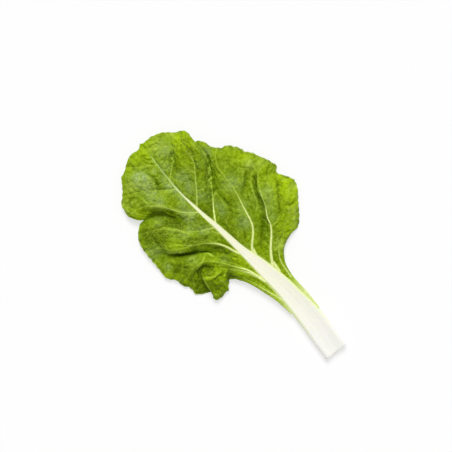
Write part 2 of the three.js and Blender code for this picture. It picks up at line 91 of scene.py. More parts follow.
def table_at(table, at):
    """The columns of a table at values of its first column, by smooth interpolation."""
    rows = np.array(table, float)
    at = np.atleast_1d(np.asarray(at, float))
    k = np.clip(np.searchsorted(rows[:, 0], at, side="right") - 1, 0, len(rows) - 2)
    before, start, end, after = (rows[np.clip(k + i, 0, len(rows) - 1)] for i in (-1, 0, 1, 2))
    span = (end - start)[:, :1]
    slopes = [span * (q - p) / (q - p)[:, :1] for p, q in ((before, end), (start, after))]
    return curve_between(start, end, *slopes, (at[:, None] - start[:, :1]) / span)


def midrib_at(y):
    """The midrib at stations: x, half width, top, thickness, and the sideways direction."""
    _, x, half_width, top, thickness = table_at(MIDRIB, y).T
    lean = table_at(MIDRIB, np.asarray(y) + 1)[:, 1] - table_at(MIDRIB, np.asarray(y) - 1)[:, 1]
    sideways = np.stack([np.full_like(lean, 2.0), -lean], 1)
    return x, half_width, top, thickness, sideways / np.linalg.norm(sideways, axis=1)[:, None]


def waves(where, seed, size):
    """Smooth seeded waves of about the given size, from -1 to 1, at points of any dimension."""
    random = np.random.default_rng(seed)
    where = np.asarray(where, float)
    total = np.zeros(where.shape[:-1])
    for _ in range(7):
        direction = random.normal(size=where.shape[-1])
        direction *= random.uniform(0.7, 1.4) / np.linalg.norm(direction)
        total += np.sin(where @ direction * 2 * math.pi / size + random.uniform(0, 2 * math.pi))
    return total / 4.2


def new_sheet(name, across, along):
    """A grid of across by along points, whose places are set afterwards."""
    bpy.ops.object.select_all(action="DESELECT")
    bpy.ops.mesh.primitive_grid_add(x_subdivisions=across - 1, y_subdivisions=along - 1, size=1)
    piece = bpy.context.object
    piece.name = piece.data.name = name
    return piece


def place_points(piece, points):
    """Gives a piece's points their places, from mm in the drawing to metres in the frame."""
    placed = (points.reshape(-1, 3) - np.array([*FOOTPRINT_MIDDLE, 0.0])) * MM
    piece.data.vertices.foreach_set("co", placed.astype(np.float32).ravel())
    piece.data.update()


def mark_points(piece, name, values):
    """Stores one number, or three, with each of a piece's points."""
    values = np.asarray(values, np.float32)
    vector = values.ndim > 1 and values.shape[-1] == 3
    layer = piece.data.attributes.new(name, "FLOAT_VECTOR" if vector else "FLOAT", "POINT")
    layer.data.foreach_set("vector" if vector else "value", values.ravel())


def closed_curve(corners, count):
    """A closed smooth curve through corners, at count points, a like number in each stretch."""
    corners = np.array(corners, float)
    at = np.arange(count) * len(corners) / count
    k = at.astype(int)
    a, b, c, d = (corners[(k + step) % len(corners)] for step in (-1, 0, 1, 2))
    return curve_between(b, c, (c - a) / 2, (d - b) / 2, (at - k)[:, None])


section = closed_curve(SECTION, STALK_SIDES)
section[:, 1:] = np.clip(section[:, 1:], 0, 1)
foot_y, tip_y = MIDRIB[0][0], MIDRIB[-1][0]
station_y = np.linspace(foot_y, tip_y, STALK_STATIONS)
x, half_width, top, thickness, sideways = midrib_at(station_y)
channel = CHANNEL_DEPTH * thickness * np.maximum(0, 1 - station_y / CHANNEL_END)
stalk_rings = np.empty((STALK_STATIONS, STALK_SIDES, 3))
across = section[:, 0] * half_width[:, None]
stalk_rings[..., 0] = x[:, None] + across * sideways[:, :1]
stalk_rings[..., 1] = station_y[:, None] + across * sideways[:, 1:]
stalk_rings[..., 2] = (
    top[:, None] - (1 - section[:, 1]) * thickness[:, None] - section[:, 2] * channel[:, None]
)

# Fibres raise the face a little, and ridges the back, away from where it lies on the surface.
fibre_place = np.stack(np.broadcast_arrays(across, station_y[:, None] / FACE_FIBRE_STRETCH), -1)
fibres = waves(fibre_place, seed=11, size=FACE_FIBRE_SIZE) * FACE_FIBRE
is_face = section[:, 1] > FACE_FROM
ridges = np.cos(section[:, 0] * BACK_RIDGES * math.pi / 2) * BACK_RIDGE
lift = np.where(is_face, fibres, ridges * (half_width[:, None] / FULL_HALF_WIDTH))
stalk_rings[..., 2] = np.maximum(stalk_rings[..., 2] + lift, 0)
stalk_rings[..., 0] += (waves(station_y[:, None], seed=12, size=WAVER_SIZE) * WAVER)[:, None]

# Each end is closed by rings that shrink to its middle. The knife left the foot slightly domed.
caps = []
shrink = np.linspace(0, 1, CAP_RINGS + 1)[:-1, None]
for ring, bulge in ((stalk_rings[0], -FOOT_DOME), (stalk_rings[-1], TIP_DOME)):
    middle = ring.mean(0)
    cap = middle + (ring - middle) * shrink[..., None] ** 0.8
    cap[..., 1] += bulge * (1 - shrink**3)
    caps.append(cap)
stalk_net = np.concatenate([caps[0], stalk_rings, caps[1][::-1]])
stalk_net = np.concatenate([stalk_net, stalk_net[:, :1]], 1)  # the seam, welded below

stalk = new_sheet("stalk_and_midrib", STALK_SIDES + 1, len(stalk_net))
place_points(stalk, stalk_net)
cut = np.zeros(stalk_net.shape[:2])
cut[: CAP_RINGS + 1] = 1
mark_points(stalk, "cut", cut)
section = np.concatenate([section, section[:1]])
mark_points(stalk, "side", np.broadcast_to(section[:, 0], cut.shape))
along = np.concatenate([np.full(CAP_RINGS, foot_y), station_y, np.full(CAP_RINGS, tip_y)])
fibre = (section[:, 0] * FULL_HALF_WIDTH, along[:, None], section[:, 1] * FULL_THICKNESS)
mark_points(stalk, "fibre", np.stack(np.broadcast_arrays(*fibre), -1).reshape(-1, 3))
bpy.ops.object.mode_set(mode="EDIT")
bpy.ops.mesh.select_all(action="SELECT")
bpy.ops.mesh.remove_doubles(threshold=WELD * MM)
bpy.ops.mesh.normals_make_consistent(inside=False)
bpy.ops.object.mode_set(mode="OBJECT")
bpy.ops.object.shade_smooth()


def linear(hex_colour):
    """An sRGB hex colour as linear red, green, blue and alpha."""
    parts = [int(hex_colour[i : i + 2], 16) / 255 for i in (1, 3, 5)]
    return [p / 12.92 if p <= 0.04045 else ((p + 0.055) / 1.055) ** 2.4 for p in parts] + [1]


def new_material(name, **values):
    """A material with these values on its shader's own sockets, its node tree and its shader."""
    material = bpy.data.materials.new(name)
    material.use_nodes = True
    shader = material.node_tree.nodes["Principled BSDF"]
    for socket, value in values.items():
        shader.inputs[socket.replace("_", " ")].default_value = value
    return material, material.node_tree, shader


def add(tree, kind, settings=None, give=None, **links):
    """Adds a node, a shader node unless its kind says otherwise. Each link is a value or another
    node's output. It returns the output named by give, or the node's first live one."""
    node = tree.nodes.new(kind if "Node" in kind else "ShaderNode" + kind)
    for name, value in (settings or {}).items():
        setattr(node, name, value)
    for name, value in links.items():
        socket = node.inputs[int(name[1:]) if name[1:].isdigit() else name.replace("_", " ")]
        if isinstance(value, bpy.types.NodeSocket):
            tree.links.new(value, socket)
        else:
            socket.default_value = value
    return node.outputs[give] if give else next((s for s in node.outputs if s.enabled), None)


def mark_of(tree, name, give="Fac"):
    """What a piece's points have stored under a name."""
    return add(tree, "Attribute", {"attribute_name": name}, give=give)


def noise(tree, place, size, detail, **more):
    """Soft noise at a place, about size across."""
    return add(tree, "TexNoise", Vector=place, Scale=1 / size, Detail=detail, **more)


def ramp(tree, value, start, end, low=0, high=1, smooth=False):
    """Goes from low to high as the value goes from start to end, and no further."""
    kind = {"interpolation_type": "SMOOTHSTEP" if smooth else "LINEAR"}
    ends = {"From_Min": start, "From_Max": end, "To_Min": low, "To_Max": high}
    return add(tree, "MapRange", kind, Value=value, **ends)


def layered(tree, colour, layers):
    """A colour with others laid over it: (where it shows, its colour)."""
    for amount, tint in layers:
        under, over = (linear(c) if isinstance(c, str) else c for c in (colour, tint))
        colour = add(tree, "Mix", {"data_type": "RGBA"}, _0=amount, _6=under, _7=over)
    return colour


def colour_and_bump(tree, shader, colour, height, height_mm, strength):
    """Links a shader's colour, and a bump that is height_mm high."""
    tree.links.new(colour, shader.inputs["Base Color"])
    bump = add(tree, "Bump", Strength=strength, Distance=height_mm * MM, Height=height)
    tree.links.new(bump, shader.inputs["Normal"])


# Settings that many nodes share.
TIMES = {"operation": "MULTIPLY"}
TIMES_PLUS = {"operation": "MULTIPLY_ADD"}

# Stalk flesh: peeled-looking, moist plant tissue. It is white with a faint greenish edge, a little
# see-through, and lightly shining along its fibres.
FLESH = "#f5f4ee"
YOUNGER_FLESH = "#f4f3dd"
FLESH_SHADE = "#e6e8d4"
MIDRIB_PALE = "#eef2be"
MIDRIB_TIP = "#a8c866"
FLANK_GREEN = "#dcec86"
FIBRE_WIDTH = 1.5  # mm
FIBRE_LENGTH = 60  # mm
BLOTCH = 25  # mm across a patch where the fibres show more or less
FLESH_GRAIN = 0.15  # mm, how high the bump makes a fibre

flesh, tree, shader = new_material(
    "stalk_flesh",
    Roughness=0.38,
    IOR=1.4,
    Subsurface_Weight=0.2,
    Subsurface_Radius=(0.003, 0.0025, 0.0014),
    Subsurface_Scale=1.0,
)
place = mark_of(tree, "fibre", "Vector")
up = add(tree, "SeparateXYZ", give="Y", Vector=place)
fibre_scale = (1 / FIBRE_WIDTH, 1 / FIBRE_LENGTH, 1 / FIBRE_WIDTH)
stretched = add(tree, "Mapping", Vector=place, Scale=fibre_scale)
strands = noise(tree, stretched, 1, 3)
blotches = noise(tree, place, BLOTCH, 2)
shade = add(tree, "Math", TIMES, _0=ramp(tree, strands, 0.42, 0.72), _1=blotches)
outward = add(tree, "Math", {"operation": "ABSOLUTE"}, _0=mark_of(tree, "side"))
flank = ramp(tree, outward, 0.66, 0.96, high=0.85)
# Creamier up the stalk, then greener along the midrib, with greenish flanks above the foot.
younger, narrowing, ending, clear_of_foot = (
    ramp(tree, up, start, end) for start, end in ((20, 110), (150, 245), (240, 276), (25, 75))
)
greening = add(tree, "Math", TIMES, _0=flank, _1=clear_of_foot)
layers = [
    (shade, FLESH_SHADE),
    (younger, YOUNGER_FLESH),
    (narrowing, MIDRIB_PALE),
    (ending, MIDRIB_TIP),
    (greening, FLANK_GREEN),
]
colour = layered(tree, FLESH, layers)
colour_and_bump(tree, shader, colour, strands, FLESH_GRAIN, 0.25)
stalk.data.materials.append(flesh)

# The cut flesh at the foot: wetter and more see-through, with the ends of the fibre bundles as
# small darker dots.
CUT_FLESH = "#eef0dc"
BUNDLE = "#c3cc94"
BUNDLE_SPACING = 3.0  # mm
BUNDLE_HEIGHT = 0.3  # mm, how far the bump makes a bundle stand out

cut_flesh, tree, shader = new_material(
    "cut_stalk_flesh",
    Roughness=0.25,
    IOR=1.36,
    Subsurface_Weight=0.3,
    Subsurface_Radius=(0.003, 0.0025, 0.0015),
    Subsurface_Scale=1.0,
)
where = add(tree, "TexCoord", give="Object")
flat = add(tree, "Mapping", Vector=where, Scale=(1, 0, 1))
spacing = 1 / (BUNDLE_SPACING * MM)
dots = add(tree, "TexVoronoi", Vector=flat, Scale=spacing, Randomness=0.55)
spot = ramp(tree, dots, 0.2, 0.1, high=0.8)
colour = layered(tree, CUT_FLESH, [(spot, BUNDLE)])
colour_and_bump(tree, shader, colour, spot, BUNDLE_HEIGHT, 0.4)
stalk.data.materials.append(cut_flesh)

cut_mark = stalk.data.attributes["cut"].data
for polygon in stalk.data.polygons:
    if all(cut_mark[corner].value > 0.5 for corner in polygon.vertices):
        polygon.material_index = 1

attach(stalk, "root")
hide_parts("stalk")


# The blade.
# One thin sheet of crisp green tissue, grown out of both edges of the midrib: waved lobes, a lobe
# folded over on itself at the lower left, and two narrow wings down the stalk. Pale ribs branch
# from the midrib into it, and the green between them is puckered into a soft quilt.
#
# It is spanned by guides from the midrib to the margin, anticlockwise from the foot of the right
# wing round the tip to the foot of the left one: (root, vein, path, edge), with lengths in mm.
#   root  the y at which the guide leaves the midrib, or its point for the one at the tip
#   vein  None, or the side vein along it: how strong it is, how pale it is at its root, and the
#         share of its length over which it stays so
#   path  its points from there out to the margin
#   edge  the margin's points from its end on towards the next guide's end
RIGHT_GUIDES = [
    (50, None, [(22.2, 50.5, 7.6), (22.5, 51, 7.2)], [(23.4, 60, 7.1), (24.3, 67, 7.1)]),
    (71, None, [(23.2, 72.4, 7.8), (24.8, 74, 7.2)], [(25.1, 82, 7.2)]),
    (84, None, [(22.4, 86, 8.3), (25.2, 88.6, 7.4)], [(25.6, 97, 7.3)]),
    (94, None, [(22.6, 97, 8.8), (25, 100.4, 9), (26.9, 104, 7.6)], [(29.3, 112, 7.2)]),
    (101, None, [(22.8, 107, 9.2), (28, 113.6, 9.4), (32.8, 118.9, 6.4)], [(38.4, 125.3, 5.6)]),
    (106, None, [(22.8, 113.6, 9.4), (30, 122, 9.8), (38, 127.5, 8.6), (45, 130, 5)],
     [(52, 132.2, 3.6), (60, 134, 3.4), (68, 133, 1.6)]),
    (109.6, None, [(22.8, 118, 9.5), (32, 128.8, 10), (43, 136, 9.8), (55, 139.5, 9),
     (65, 138.5, 5.4), (73, 135, 0.5)], [(80.6, 142.4, 2.4), (86.8, 150, 4.4)]),
    (112.8, None, [(22.6, 121.4, 9.6), (32, 133, 10.4), (45, 143.5, 11), (60, 150.5, 11.5),
     (77, 155.5, 9.5), (92.4, 156.6, 5.8)], [(97.2, 161.6, 6.2), (102, 168, 5.6)]),
    (115.6, None, [(22.6, 124, 9.8), (31.6, 135.2, 10.8), (43, 144.3, 11.8), (53, 151.6, 12.6),
     (62, 159, 13), (72, 167, 12.4), (84, 173, 10), (94, 175.6, 7), (104.6, 175.4, 4.8)],
     [(102.2, 182, 6), (99, 188, 7.4)]),
    (118.2, None, [(22.6, 126.4, 9.9), (30.9, 136.7, 11.2), (41.5, 145.7, 12.4),
     (50.4, 153.9, 13.4), (56.5, 162.5, 13.8), (62, 171.5, 14), (69, 180, 13.4), (78, 188, 12),
     (87, 192.2, 10), (95.8, 193.5, 8)], [(97, 197.4, 7), (101.3, 199.8, 5), (100.6, 205, 5.4)]),
    (120.8, (1, 1, 0.62), [(22.6, 129, 10), (30, 138, 11.4), (40, 147, 12.6), (48, 156, 13.6),
     (52, 166, 14.2), (58, 175, 14.6), (62, 183, 14.6), (66, 193, 14.4), (71, 201, 13.6),
     (78, 208, 12.4), (88, 212, 10.4), (99, 212.5, 6.2)], [(96.5, 218, 7), (94, 224, 7.2)]),
    (133, None, [(22, 141, 8.2), (32, 151, 8), (42, 162, 7.6), (50, 174, 7.2), (56, 186, 7),
     (61, 198, 7.4), (68, 208, 8), (76, 217, 9), (85, 225, 9.4), (92, 230.5, 6.8)],
     [(89, 235, 6.4), (86.2, 238.6, 6.2), (86.2, 242.2, 5.4), (83.5, 248, 5), (80, 253.5, 5.4),
     (76, 258.2, 5.8), (71.5, 259.2, 6)]),
    (148, (0.9, 0.9, 0.52), [(14.6, 153, 9.6), (20, 158, 11), (30, 167, 12.6), (35, 175, 13.6),
     (38, 185, 14.2), (41, 195, 14.4), (45, 207, 14.2), (48, 220, 13.6), (50, 235, 12.6),
     (52.5, 248, 11), (58, 257.5, 9.6), (66.5, 264, 5.8)], [(63.4, 268, 5.4)]),
    (176, None, [(14, 185, 12), (20, 195, 13.6), (27, 206, 14.2), (35, 217, 13.8), (42, 229, 12.6),
     (48, 243, 10.4), (53, 256, 9), (58, 266, 7.6), (61.7, 272.5, 5.2)],
     [(61.2, 277, 5.6), (59.5, 281.2, 5.6), (56.6, 285, 5)]),
    (203, (0.7, 0.8, 0.28), [(10, 210, 9.6), (18, 220, 8), (25, 228, 6.6), (33, 239, 5.2),
     (43, 250.5, 4.6), (49.5, 262, 4.4), (52.5, 275, 4.4), (54, 286.6, 4)],
     [(52.8, 288.4, 6.4), (53.8, 292.6, 8.6)]),
    (217, None, [(11, 226, 11.6), (20, 237, 12.2), (30, 249, 12.4), (39, 259, 12.6),
     (45, 270, 12.8), (49, 283, 12.6), (54.8, 298.5, 9.4)], [(53, 304, 9)]),
    (231, (0.6, 0.42, 0.6), [(10, 238.5, 11.4), (20, 250, 12.8), (28, 260, 13.8), (36, 270, 14.4),
     (41, 282, 14.8), (44, 295, 14.2), (48.5, 308, 9)], [(45.5, 309, 9.6)]),
    (254, None, [(12, 263, 12), (22, 274, 13), (30, 285, 13.4), (37, 297, 13), (43, 310.6, 9)],
     [(40.6, 313.6, 8.6)]),
    (275, (0.4, 0.2, 0.3), [(10, 281, 9.6), (20, 288, 9), (28, 297, 9.4), (33.5, 307, 10),
     (37.8, 316.6, 8)], [(32.5, 321, 8.4)]),
    (296, None, [(11, 303, 11), (20, 312.5, 11.6), (27.5, 323, 8.6)], [(22, 325.4, 9)]),
    (307, None, [(9.5, 313.5, 10.6), (13.5, 320, 10.8), (16.5, 326, 8.8)],
     [(10.5, 326.4, 8), (8.6, 327, 8)]),
]
TIP_GUIDES = [
    ((5.6, 310.8, 9.3), None, [(5.2, 317, 9.6), (6.3, 329, 8)],
     [(3.5, 326.4, 8.4), (0.3, 324.4, 7.6), (-3.5, 325.8, 8)]),
]
LEFT_GUIDES = [
    (307, None, [(0.5, 312, 9.6), (-4, 318, 10), (-8, 327, 8.8)],
     [(-13, 326.4, 8.4), (-17, 325, 8)]),
    (297, (0.4, 0.2, 0.4), [(-3, 303, 9), (-10, 308, 8.6), (-18, 314, 9), (-24, 321.3, 7)],
     [(-29, 318, 7.6)]),
    (282, None, [(-7, 288, 12), (-16, 295.5, 14.6), (-26, 303, 14), (-35.5, 316.4, 8)],
     [(-40.5, 310, 8.4), (-45.5, 304, 8.2)]),
    (262, (0.4, 0.25, 0.25), [(-6, 266.5, 11), (-12, 271.5, 11.6), (-21, 280, 11.8),
     (-31, 288, 11.2), (-42, 294.5, 10), (-51, 299, 7.6)], [(-56.5, 295, 7)]),
    (244, None, [(-8, 251, 12.6), (-16, 260, 14), (-25, 270, 14.6), (-36, 280, 13.4),
     (-48, 286.5, 11), (-59, 290.5, 7)], [(-60.2, 285, 7.2)]),
    (225, (0.7, 0.45, 0.75), [(-8, 232, 11.6), (-15, 240, 13.2), (-20, 249, 14.4), (-26, 259, 15.4),
     (-33, 267.5, 15.8), (-40, 273, 15), (-50, 277.5, 12.4), (-62, 279.5, 7.8)],
     [(-60, 274, 8.8), (-57.4, 268.4, 9.4), (-54.2, 265.2, 8.4)]),
    (213, None, [(-10, 221, 8.8), (-19, 232, 7.2), (-27, 244.6, 5.8), (-34, 254, 5.2),
     (-42, 260, 5.2), (-51.2, 263, 5.6)], [(-56.4, 263.4, 5), (-64, 259.2, 5.8)]),
    (200, (0.7, 0.4, 0.12), [(-10, 206, 9.4), (-20, 213, 9.2), (-30, 222, 10), (-38, 232.5, 10.6),
     (-46, 242, 10.8), (-57, 249.5, 10), (-69.5, 254.4, 6.2)], [(-72.5, 250, 6.6)]),
    (183, None, [(-8, 193, 10.4), (-18, 204, 11.8), (-30, 213, 14.2), (-42, 221.5, 15.2),
     (-53, 230.5, 14), (-63, 239, 11), (-74.5, 245, 7)], [(-76, 239.5, 6.6)]),
    (158, (0.9, 0.78, 0.33), [(-2.8, 166, 9.8), (-4.8, 173, 10.4), (-7.8, 180, 11.2),
     (-13.4, 188, 12.6), (-22, 196.2, 14.4), (-32, 203, 15.8), (-42, 209, 16.6), (-52, 216.6, 16.2),
     (-59, 225, 13.6), (-66.5, 231, 10.6), (-77, 233, 6.6)], [(-77.4, 228, 6), (-78, 222, 5.6)]),
    (149, None, [(-5.4, 161, 8.8), (-10.8, 170.6, 7.4), (-17, 178.6, 5.8), (-24, 186, 4.8),
     (-31.5, 192.6, 4.2), (-38, 198.4, 3.8), (-46, 204, 3.8), (-55, 210.4, 4.8), (-66, 216, 6.2),
     (-78.6, 215.4, 5)], [(-79.2, 209, 4.6), (-80, 203.4, 4.2)]),
    (140, None, [(-5.6, 152, 8.6), (-11.6, 163, 8), (-18.6, 173, 7.8), (-26.6, 181.4, 8),
     (-38, 190.4, 8.2), (-52, 197, 8.2), (-66, 200, 7.2), (-80.2, 198, 4)], [(-78, 193.2, 4.2)]),
    (131, None, [(-5, 142, 8.8), (-9.4, 151, 8.6), (-14.4, 160.4, 8.6), (-20, 169, 9),
     (-27.4, 177.4, 9.8), (-38, 185.6, 10.4), (-50, 189.4, 9.6), (-63, 189.6, 7.4),
     (-74.6, 189.2, 4.2)], [(-73, 185.6, 3.8)]),
    (120, (0.8, 0.9, 0.3), [(-3.8, 128, 9.2), (-5.4, 135, 9.4), (-8.3, 141.6, 9.6),
     (-12.4, 148, 9.8), (-17.6, 157, 10), (-22, 165, 10.4), (-27.6, 172.6, 11.2), (-34, 179, 12),
     (-41.6, 182.6, 12.2), (-50.6, 183, 11), (-62, 180.8, 7.4), (-73.6, 180.6, 3.6)],
     [(-72, 176, 3.2), (-69, 171.4, 3)]),
    (117.6, None, [(-6, 128.4, 9.2), (-7.8, 135.4, 9.3), (-10.8, 142, 9.4), (-14.6, 148.6, 9.6),
     (-19, 156.6, 9.8), (-24, 164.4, 10), (-30, 171, 10), (-38, 176.2, 9), (-46, 179, 7.2),
     (-54, 177, 5.4), (-61, 171.6, 4), (-67.8, 167, 3)], [(-69.2, 161.4, 2.4), (-66, 157, 1.4)]),
    (115.2, None, [(-7.4, 128.6, 9.2), (-9.2, 135, 9.2), (-12.2, 141.6, 9.4), (-16, 148.2, 9.6),
     (-20.4, 155.6, 9.8), (-25.4, 163, 9.8), (-31.6, 169, 9.4), (-39, 173.6, 7.8),
     (-45.6, 175.4, 5.6), (-51, 172, 4), (-56, 163.6, 2.4), (-60.5, 153.2, 0.6)],
     [(-56, 150.6, 1), (-52.4, 148.6, 2.4)]),
    (112.8, None, [(-8.8, 128.6, 9.2), (-10.6, 134.6, 9.2), (-13.6, 141.2, 9.4),
     (-17.4, 147.8, 9.6), (-21.6, 154.6, 9.8), (-26.6, 161.4, 9.8), (-32.4, 167.2, 9.4),
     (-38.8, 171, 8), (-44.4, 170.2, 6.4), (-47.4, 165.4, 5.2), (-48.8, 158, 4.6), (-49.6, 148, 4)],
     [(-53, 146.2, 6)]),
    (110.4, None, [(-10.2, 128.6, 9.2), (-12, 134.2, 9.2), (-15, 140.8, 9.4), (-18.6, 147.2, 9.6),
     (-22.8, 153.8, 9.9), (-27.6, 160, 10.2), (-33.4, 165.8, 10.8), (-40, 169.6, 12),
     (-46.4, 169.6, 13), (-50.4, 164.6, 13.4), (-52.4, 157, 12.6), (-54.6, 149.6, 10.4),
     (-57.6, 142.6, 7)], [(-56.2, 139, 5.6), (-51.5, 137, 4.4)]),
    (108, None, [(-11.6, 128.6, 9.2), (-13.4, 134, 9.2), (-16.4, 140.4, 9.4), (-19.8, 146.4, 9.6),
     (-23.8, 152.4, 9.9), (-28.8, 157.6, 10.6), (-34.6, 160.8, 12.2), (-40, 158.6, 12.4),
     (-43, 150.4, 9.6), (-45.6, 137.2, 3.6)], [(-41, 138, 4), (-38.4, 136.4, 4.2)]),
    (105.4, None, [(-13, 128.4, 9.2), (-14.8, 133.8, 9.2), (-17.6, 139.8, 9.4), (-20.6, 145.2, 9.6),
     (-24.2, 150.4, 9.8), (-28.6, 154, 10.2), (-33, 152.4, 9.8), (-35.4, 147, 8), (-36.6, 140, 5)],
     [(-33.6, 142, 5.2)]),
    (102, None, [(-14, 127, 9), (-16, 133, 8.8), (-18.4, 138.6, 8.2), (-21, 143.6, 7.2),
     (-24, 147.8, 6), (-26.6, 149, 5.4), (-30, 145.2, 5)], [(-27, 143.4, 5.2)]),
    (97, None, [(-6.6, 106, 9), (-11.4, 116, 8.8), (-15.4, 127, 8.4), (-19.2, 136, 7.2),
     (-23.6, 141, 5.8)], [(-19.7, 134.8, 6.4)]),
    (91, None, [(-6, 99, 9), (-10.4, 110, 8.6), (-15.2, 125.4, 6.8)], [(-12.8, 116, 7)]),
    (84, None, [(-5.4, 91, 8.8), (-8.6, 99, 8.2), (-11.1, 107.2, 7.2)], [(-9, 98.6, 7.2)]),
    (76, None, [(-5.5, 82, 8.2), (-7.5, 89.6, 7.4)], [(-6.9, 79, 7.2)]),
    (66, None, [(-5.7, 67, 7.6), (-6.1, 67.8, 7.2)], []),
]
LAMINA = 0.6  # mm, thickness between the veins
RIB_DEPTH = 1.9  # mm, how much thicker it is under the root of a strong vein
RIB_HALF_WIDTH = 2.6  # mm, at the root
TENSION = 0.4  # how freely the blade curves from one guide to the next
ROWS = 78  # steps from the midrib to the margin
COLUMN_SPACING = 1.4  # mm between columns, where two guides are furthest apart
TUCK = 0.7  # mm, how far the blade's inner edge reaches into the midrib's flank
SEAT = 0.84  # height of that edge, as a share of the midrib's thickness


def smooth_path(corners, count):
    """A smooth path through corners, at count points that are evenly spaced along it."""
    corners = np.array(corners, float)
    if len(corners) == 2:
        return corners[0] + (corners[1] - corners[0]) * np.linspace(0, 1, count)[:, None]
    ends = 2 * corners[0] - corners[1], 2 * corners[-1] - corners[-2]
    corners = np.vstack([ends[0], corners, ends[1]])
    fine = []
    for a, b, c, d in zip(corners, corners[1:], corners[2:], corners[3:]):
        ab, bc, cd = (max(math.dist(p, q) ** 0.5, 1e-3) for p, q in ((a, b), (b, c), (c, d)))
        start = ((b - a) / ab - (c - a) / (ab + bc) + (c - b) / bc) * bc
        end = ((c - b) / bc - (d - b) / (bc + cd) + (d - c) / cd) * bc
        f = np.linspace(0, 1, 24, endpoint=False)[:, None]
        fine.append(curve_between(b, c, start, end, f))
    fine = np.vstack([*fine, corners[-2]])
    walked = np.concatenate([[0], np.cumsum(np.linalg.norm(np.diff(fine, axis=0), axis=1))])
    steps = np.linspace(0, walked[-1], count)
    return np.stack([np.interp(steps, walked, fine[:, i]) for i in range(3)], 1)


def seat_at(y, side):
    """Where the blade's inner edge meets the midrib's flank, at one station on one side."""
    x, half_width, top, thickness, sideways = (value[0] for value in midrib_at(y))
    reach = side * max(half_width - TUCK, half_width * 0.4)
    height = top - (1 - SEAT) * thickness
    return np.array([x + reach * sideways[0], y + reach * sideways[1], height])


guides = []
for side, group in ((1, RIGHT_GUIDES), (0, TIP_GUIDES), (-1, LEFT_GUIDES)):
    for root, vein, path, edge in group:
        line = smooth_path([seat_at(root, side) if side else root, *path], ROWS + 1)
        guides.append({"side": side, "root": root, "vein": vein, "edge": edge, "line": line})

out = np.linspace(0, 1, ROWS + 1)[:, None]  # share of the way from the midrib to the margin
columns = [guides[0]["line"]]
guides[0]["column"] = 0
for i, (guide, following) in enumerate(zip(guides, guides[1:])):
    a = guides[max(i - 1, 0)]["line"]
    b, c = guide["line"], following["line"]
    d = guides[min(i + 2, len(guides) - 1)]["line"]
    rim_corners = [b[-1], *guide["edge"], c[-1]]
    rim_length = sum(map(math.dist, rim_corners[:-1], rim_corners[1:]))
    widest = max(np.linalg.norm(c - b, axis=1).max(), rim_length * 0.9)
    count = max(2, round(widest / COLUMN_SPACING))
    rim = smooth_path(rim_corners, count + 1)
    for step in range(1, count + 1):
        f = step / count
        column = curve_between(b, c, TENSION * (c - a), TENSION * (d - b), f)
        root = b[0] + (c[0] - b[0]) * f
        if guide["side"] and guide["side"] == following["side"]:
            y = guide["root"] + (following["root"] - guide["root"]) * f
            root = seat_at(y, guide["side"])
        column = column + (root - column[0]) * (1 - out) ** 3 + (rim[step] - column[-1]) * out**3
        columns.append(column)
    following["column"] = len(columns) - 1
blade_net = np.array(columns)
t = np.broadcast_to(out[:, 0], blade_net.shape[:2])


def facing(net):
    """The direction that each point of the blade's net faces in."""
    normal = np.cross(np.gradient(net, axis=1), np.gradient(net, axis=0))
    return normal / np.maximum(np.linalg.norm(normal, axis=2, keepdims=True), 1e-9)


# The margin ripples and wavers a little more than the guides say. Each wave: (seed, size, height),
# in mm.
RIPPLES = [(21, 13, 0.8), (22, 6, 0.3)]
SCALLOPS = [(23, 8, 0.5)]
RIPPLED_LENGTH = 50  # mm from the midrib to the margin, under which it ripples less
SKIN_RISE = 0.3  # mm, how far the face stands above the guides

rim_walk = np.cumsum(np.linalg.norm(np.diff(blade_net[:, -1], axis=0, prepend=0), axis=1))
ripple, scallop = (
    sum(waves(rim_walk[:, None], seed, size) * height for seed, size, height in group)
    for group in (RIPPLES, SCALLOPS)
)
outward = np.gradient(blade_net, axis=1)
outward /= np.maximum(np.linalg.norm(outward, axis=2, keepdims=True), 1e-9)
length = np.linalg.norm(np.diff(blade_net, axis=1), axis=2).sum(1)
wide = np.clip(length / RIPPLED_LENGTH, 0, 1)[:, None]
blade_net += outward * (wide * scallop[:, None] * t**7)[..., None]
blade_net[..., 2] += wide * ripple[:, None] * t**7
blade_net += facing(blade_net) * SKIN_RISE

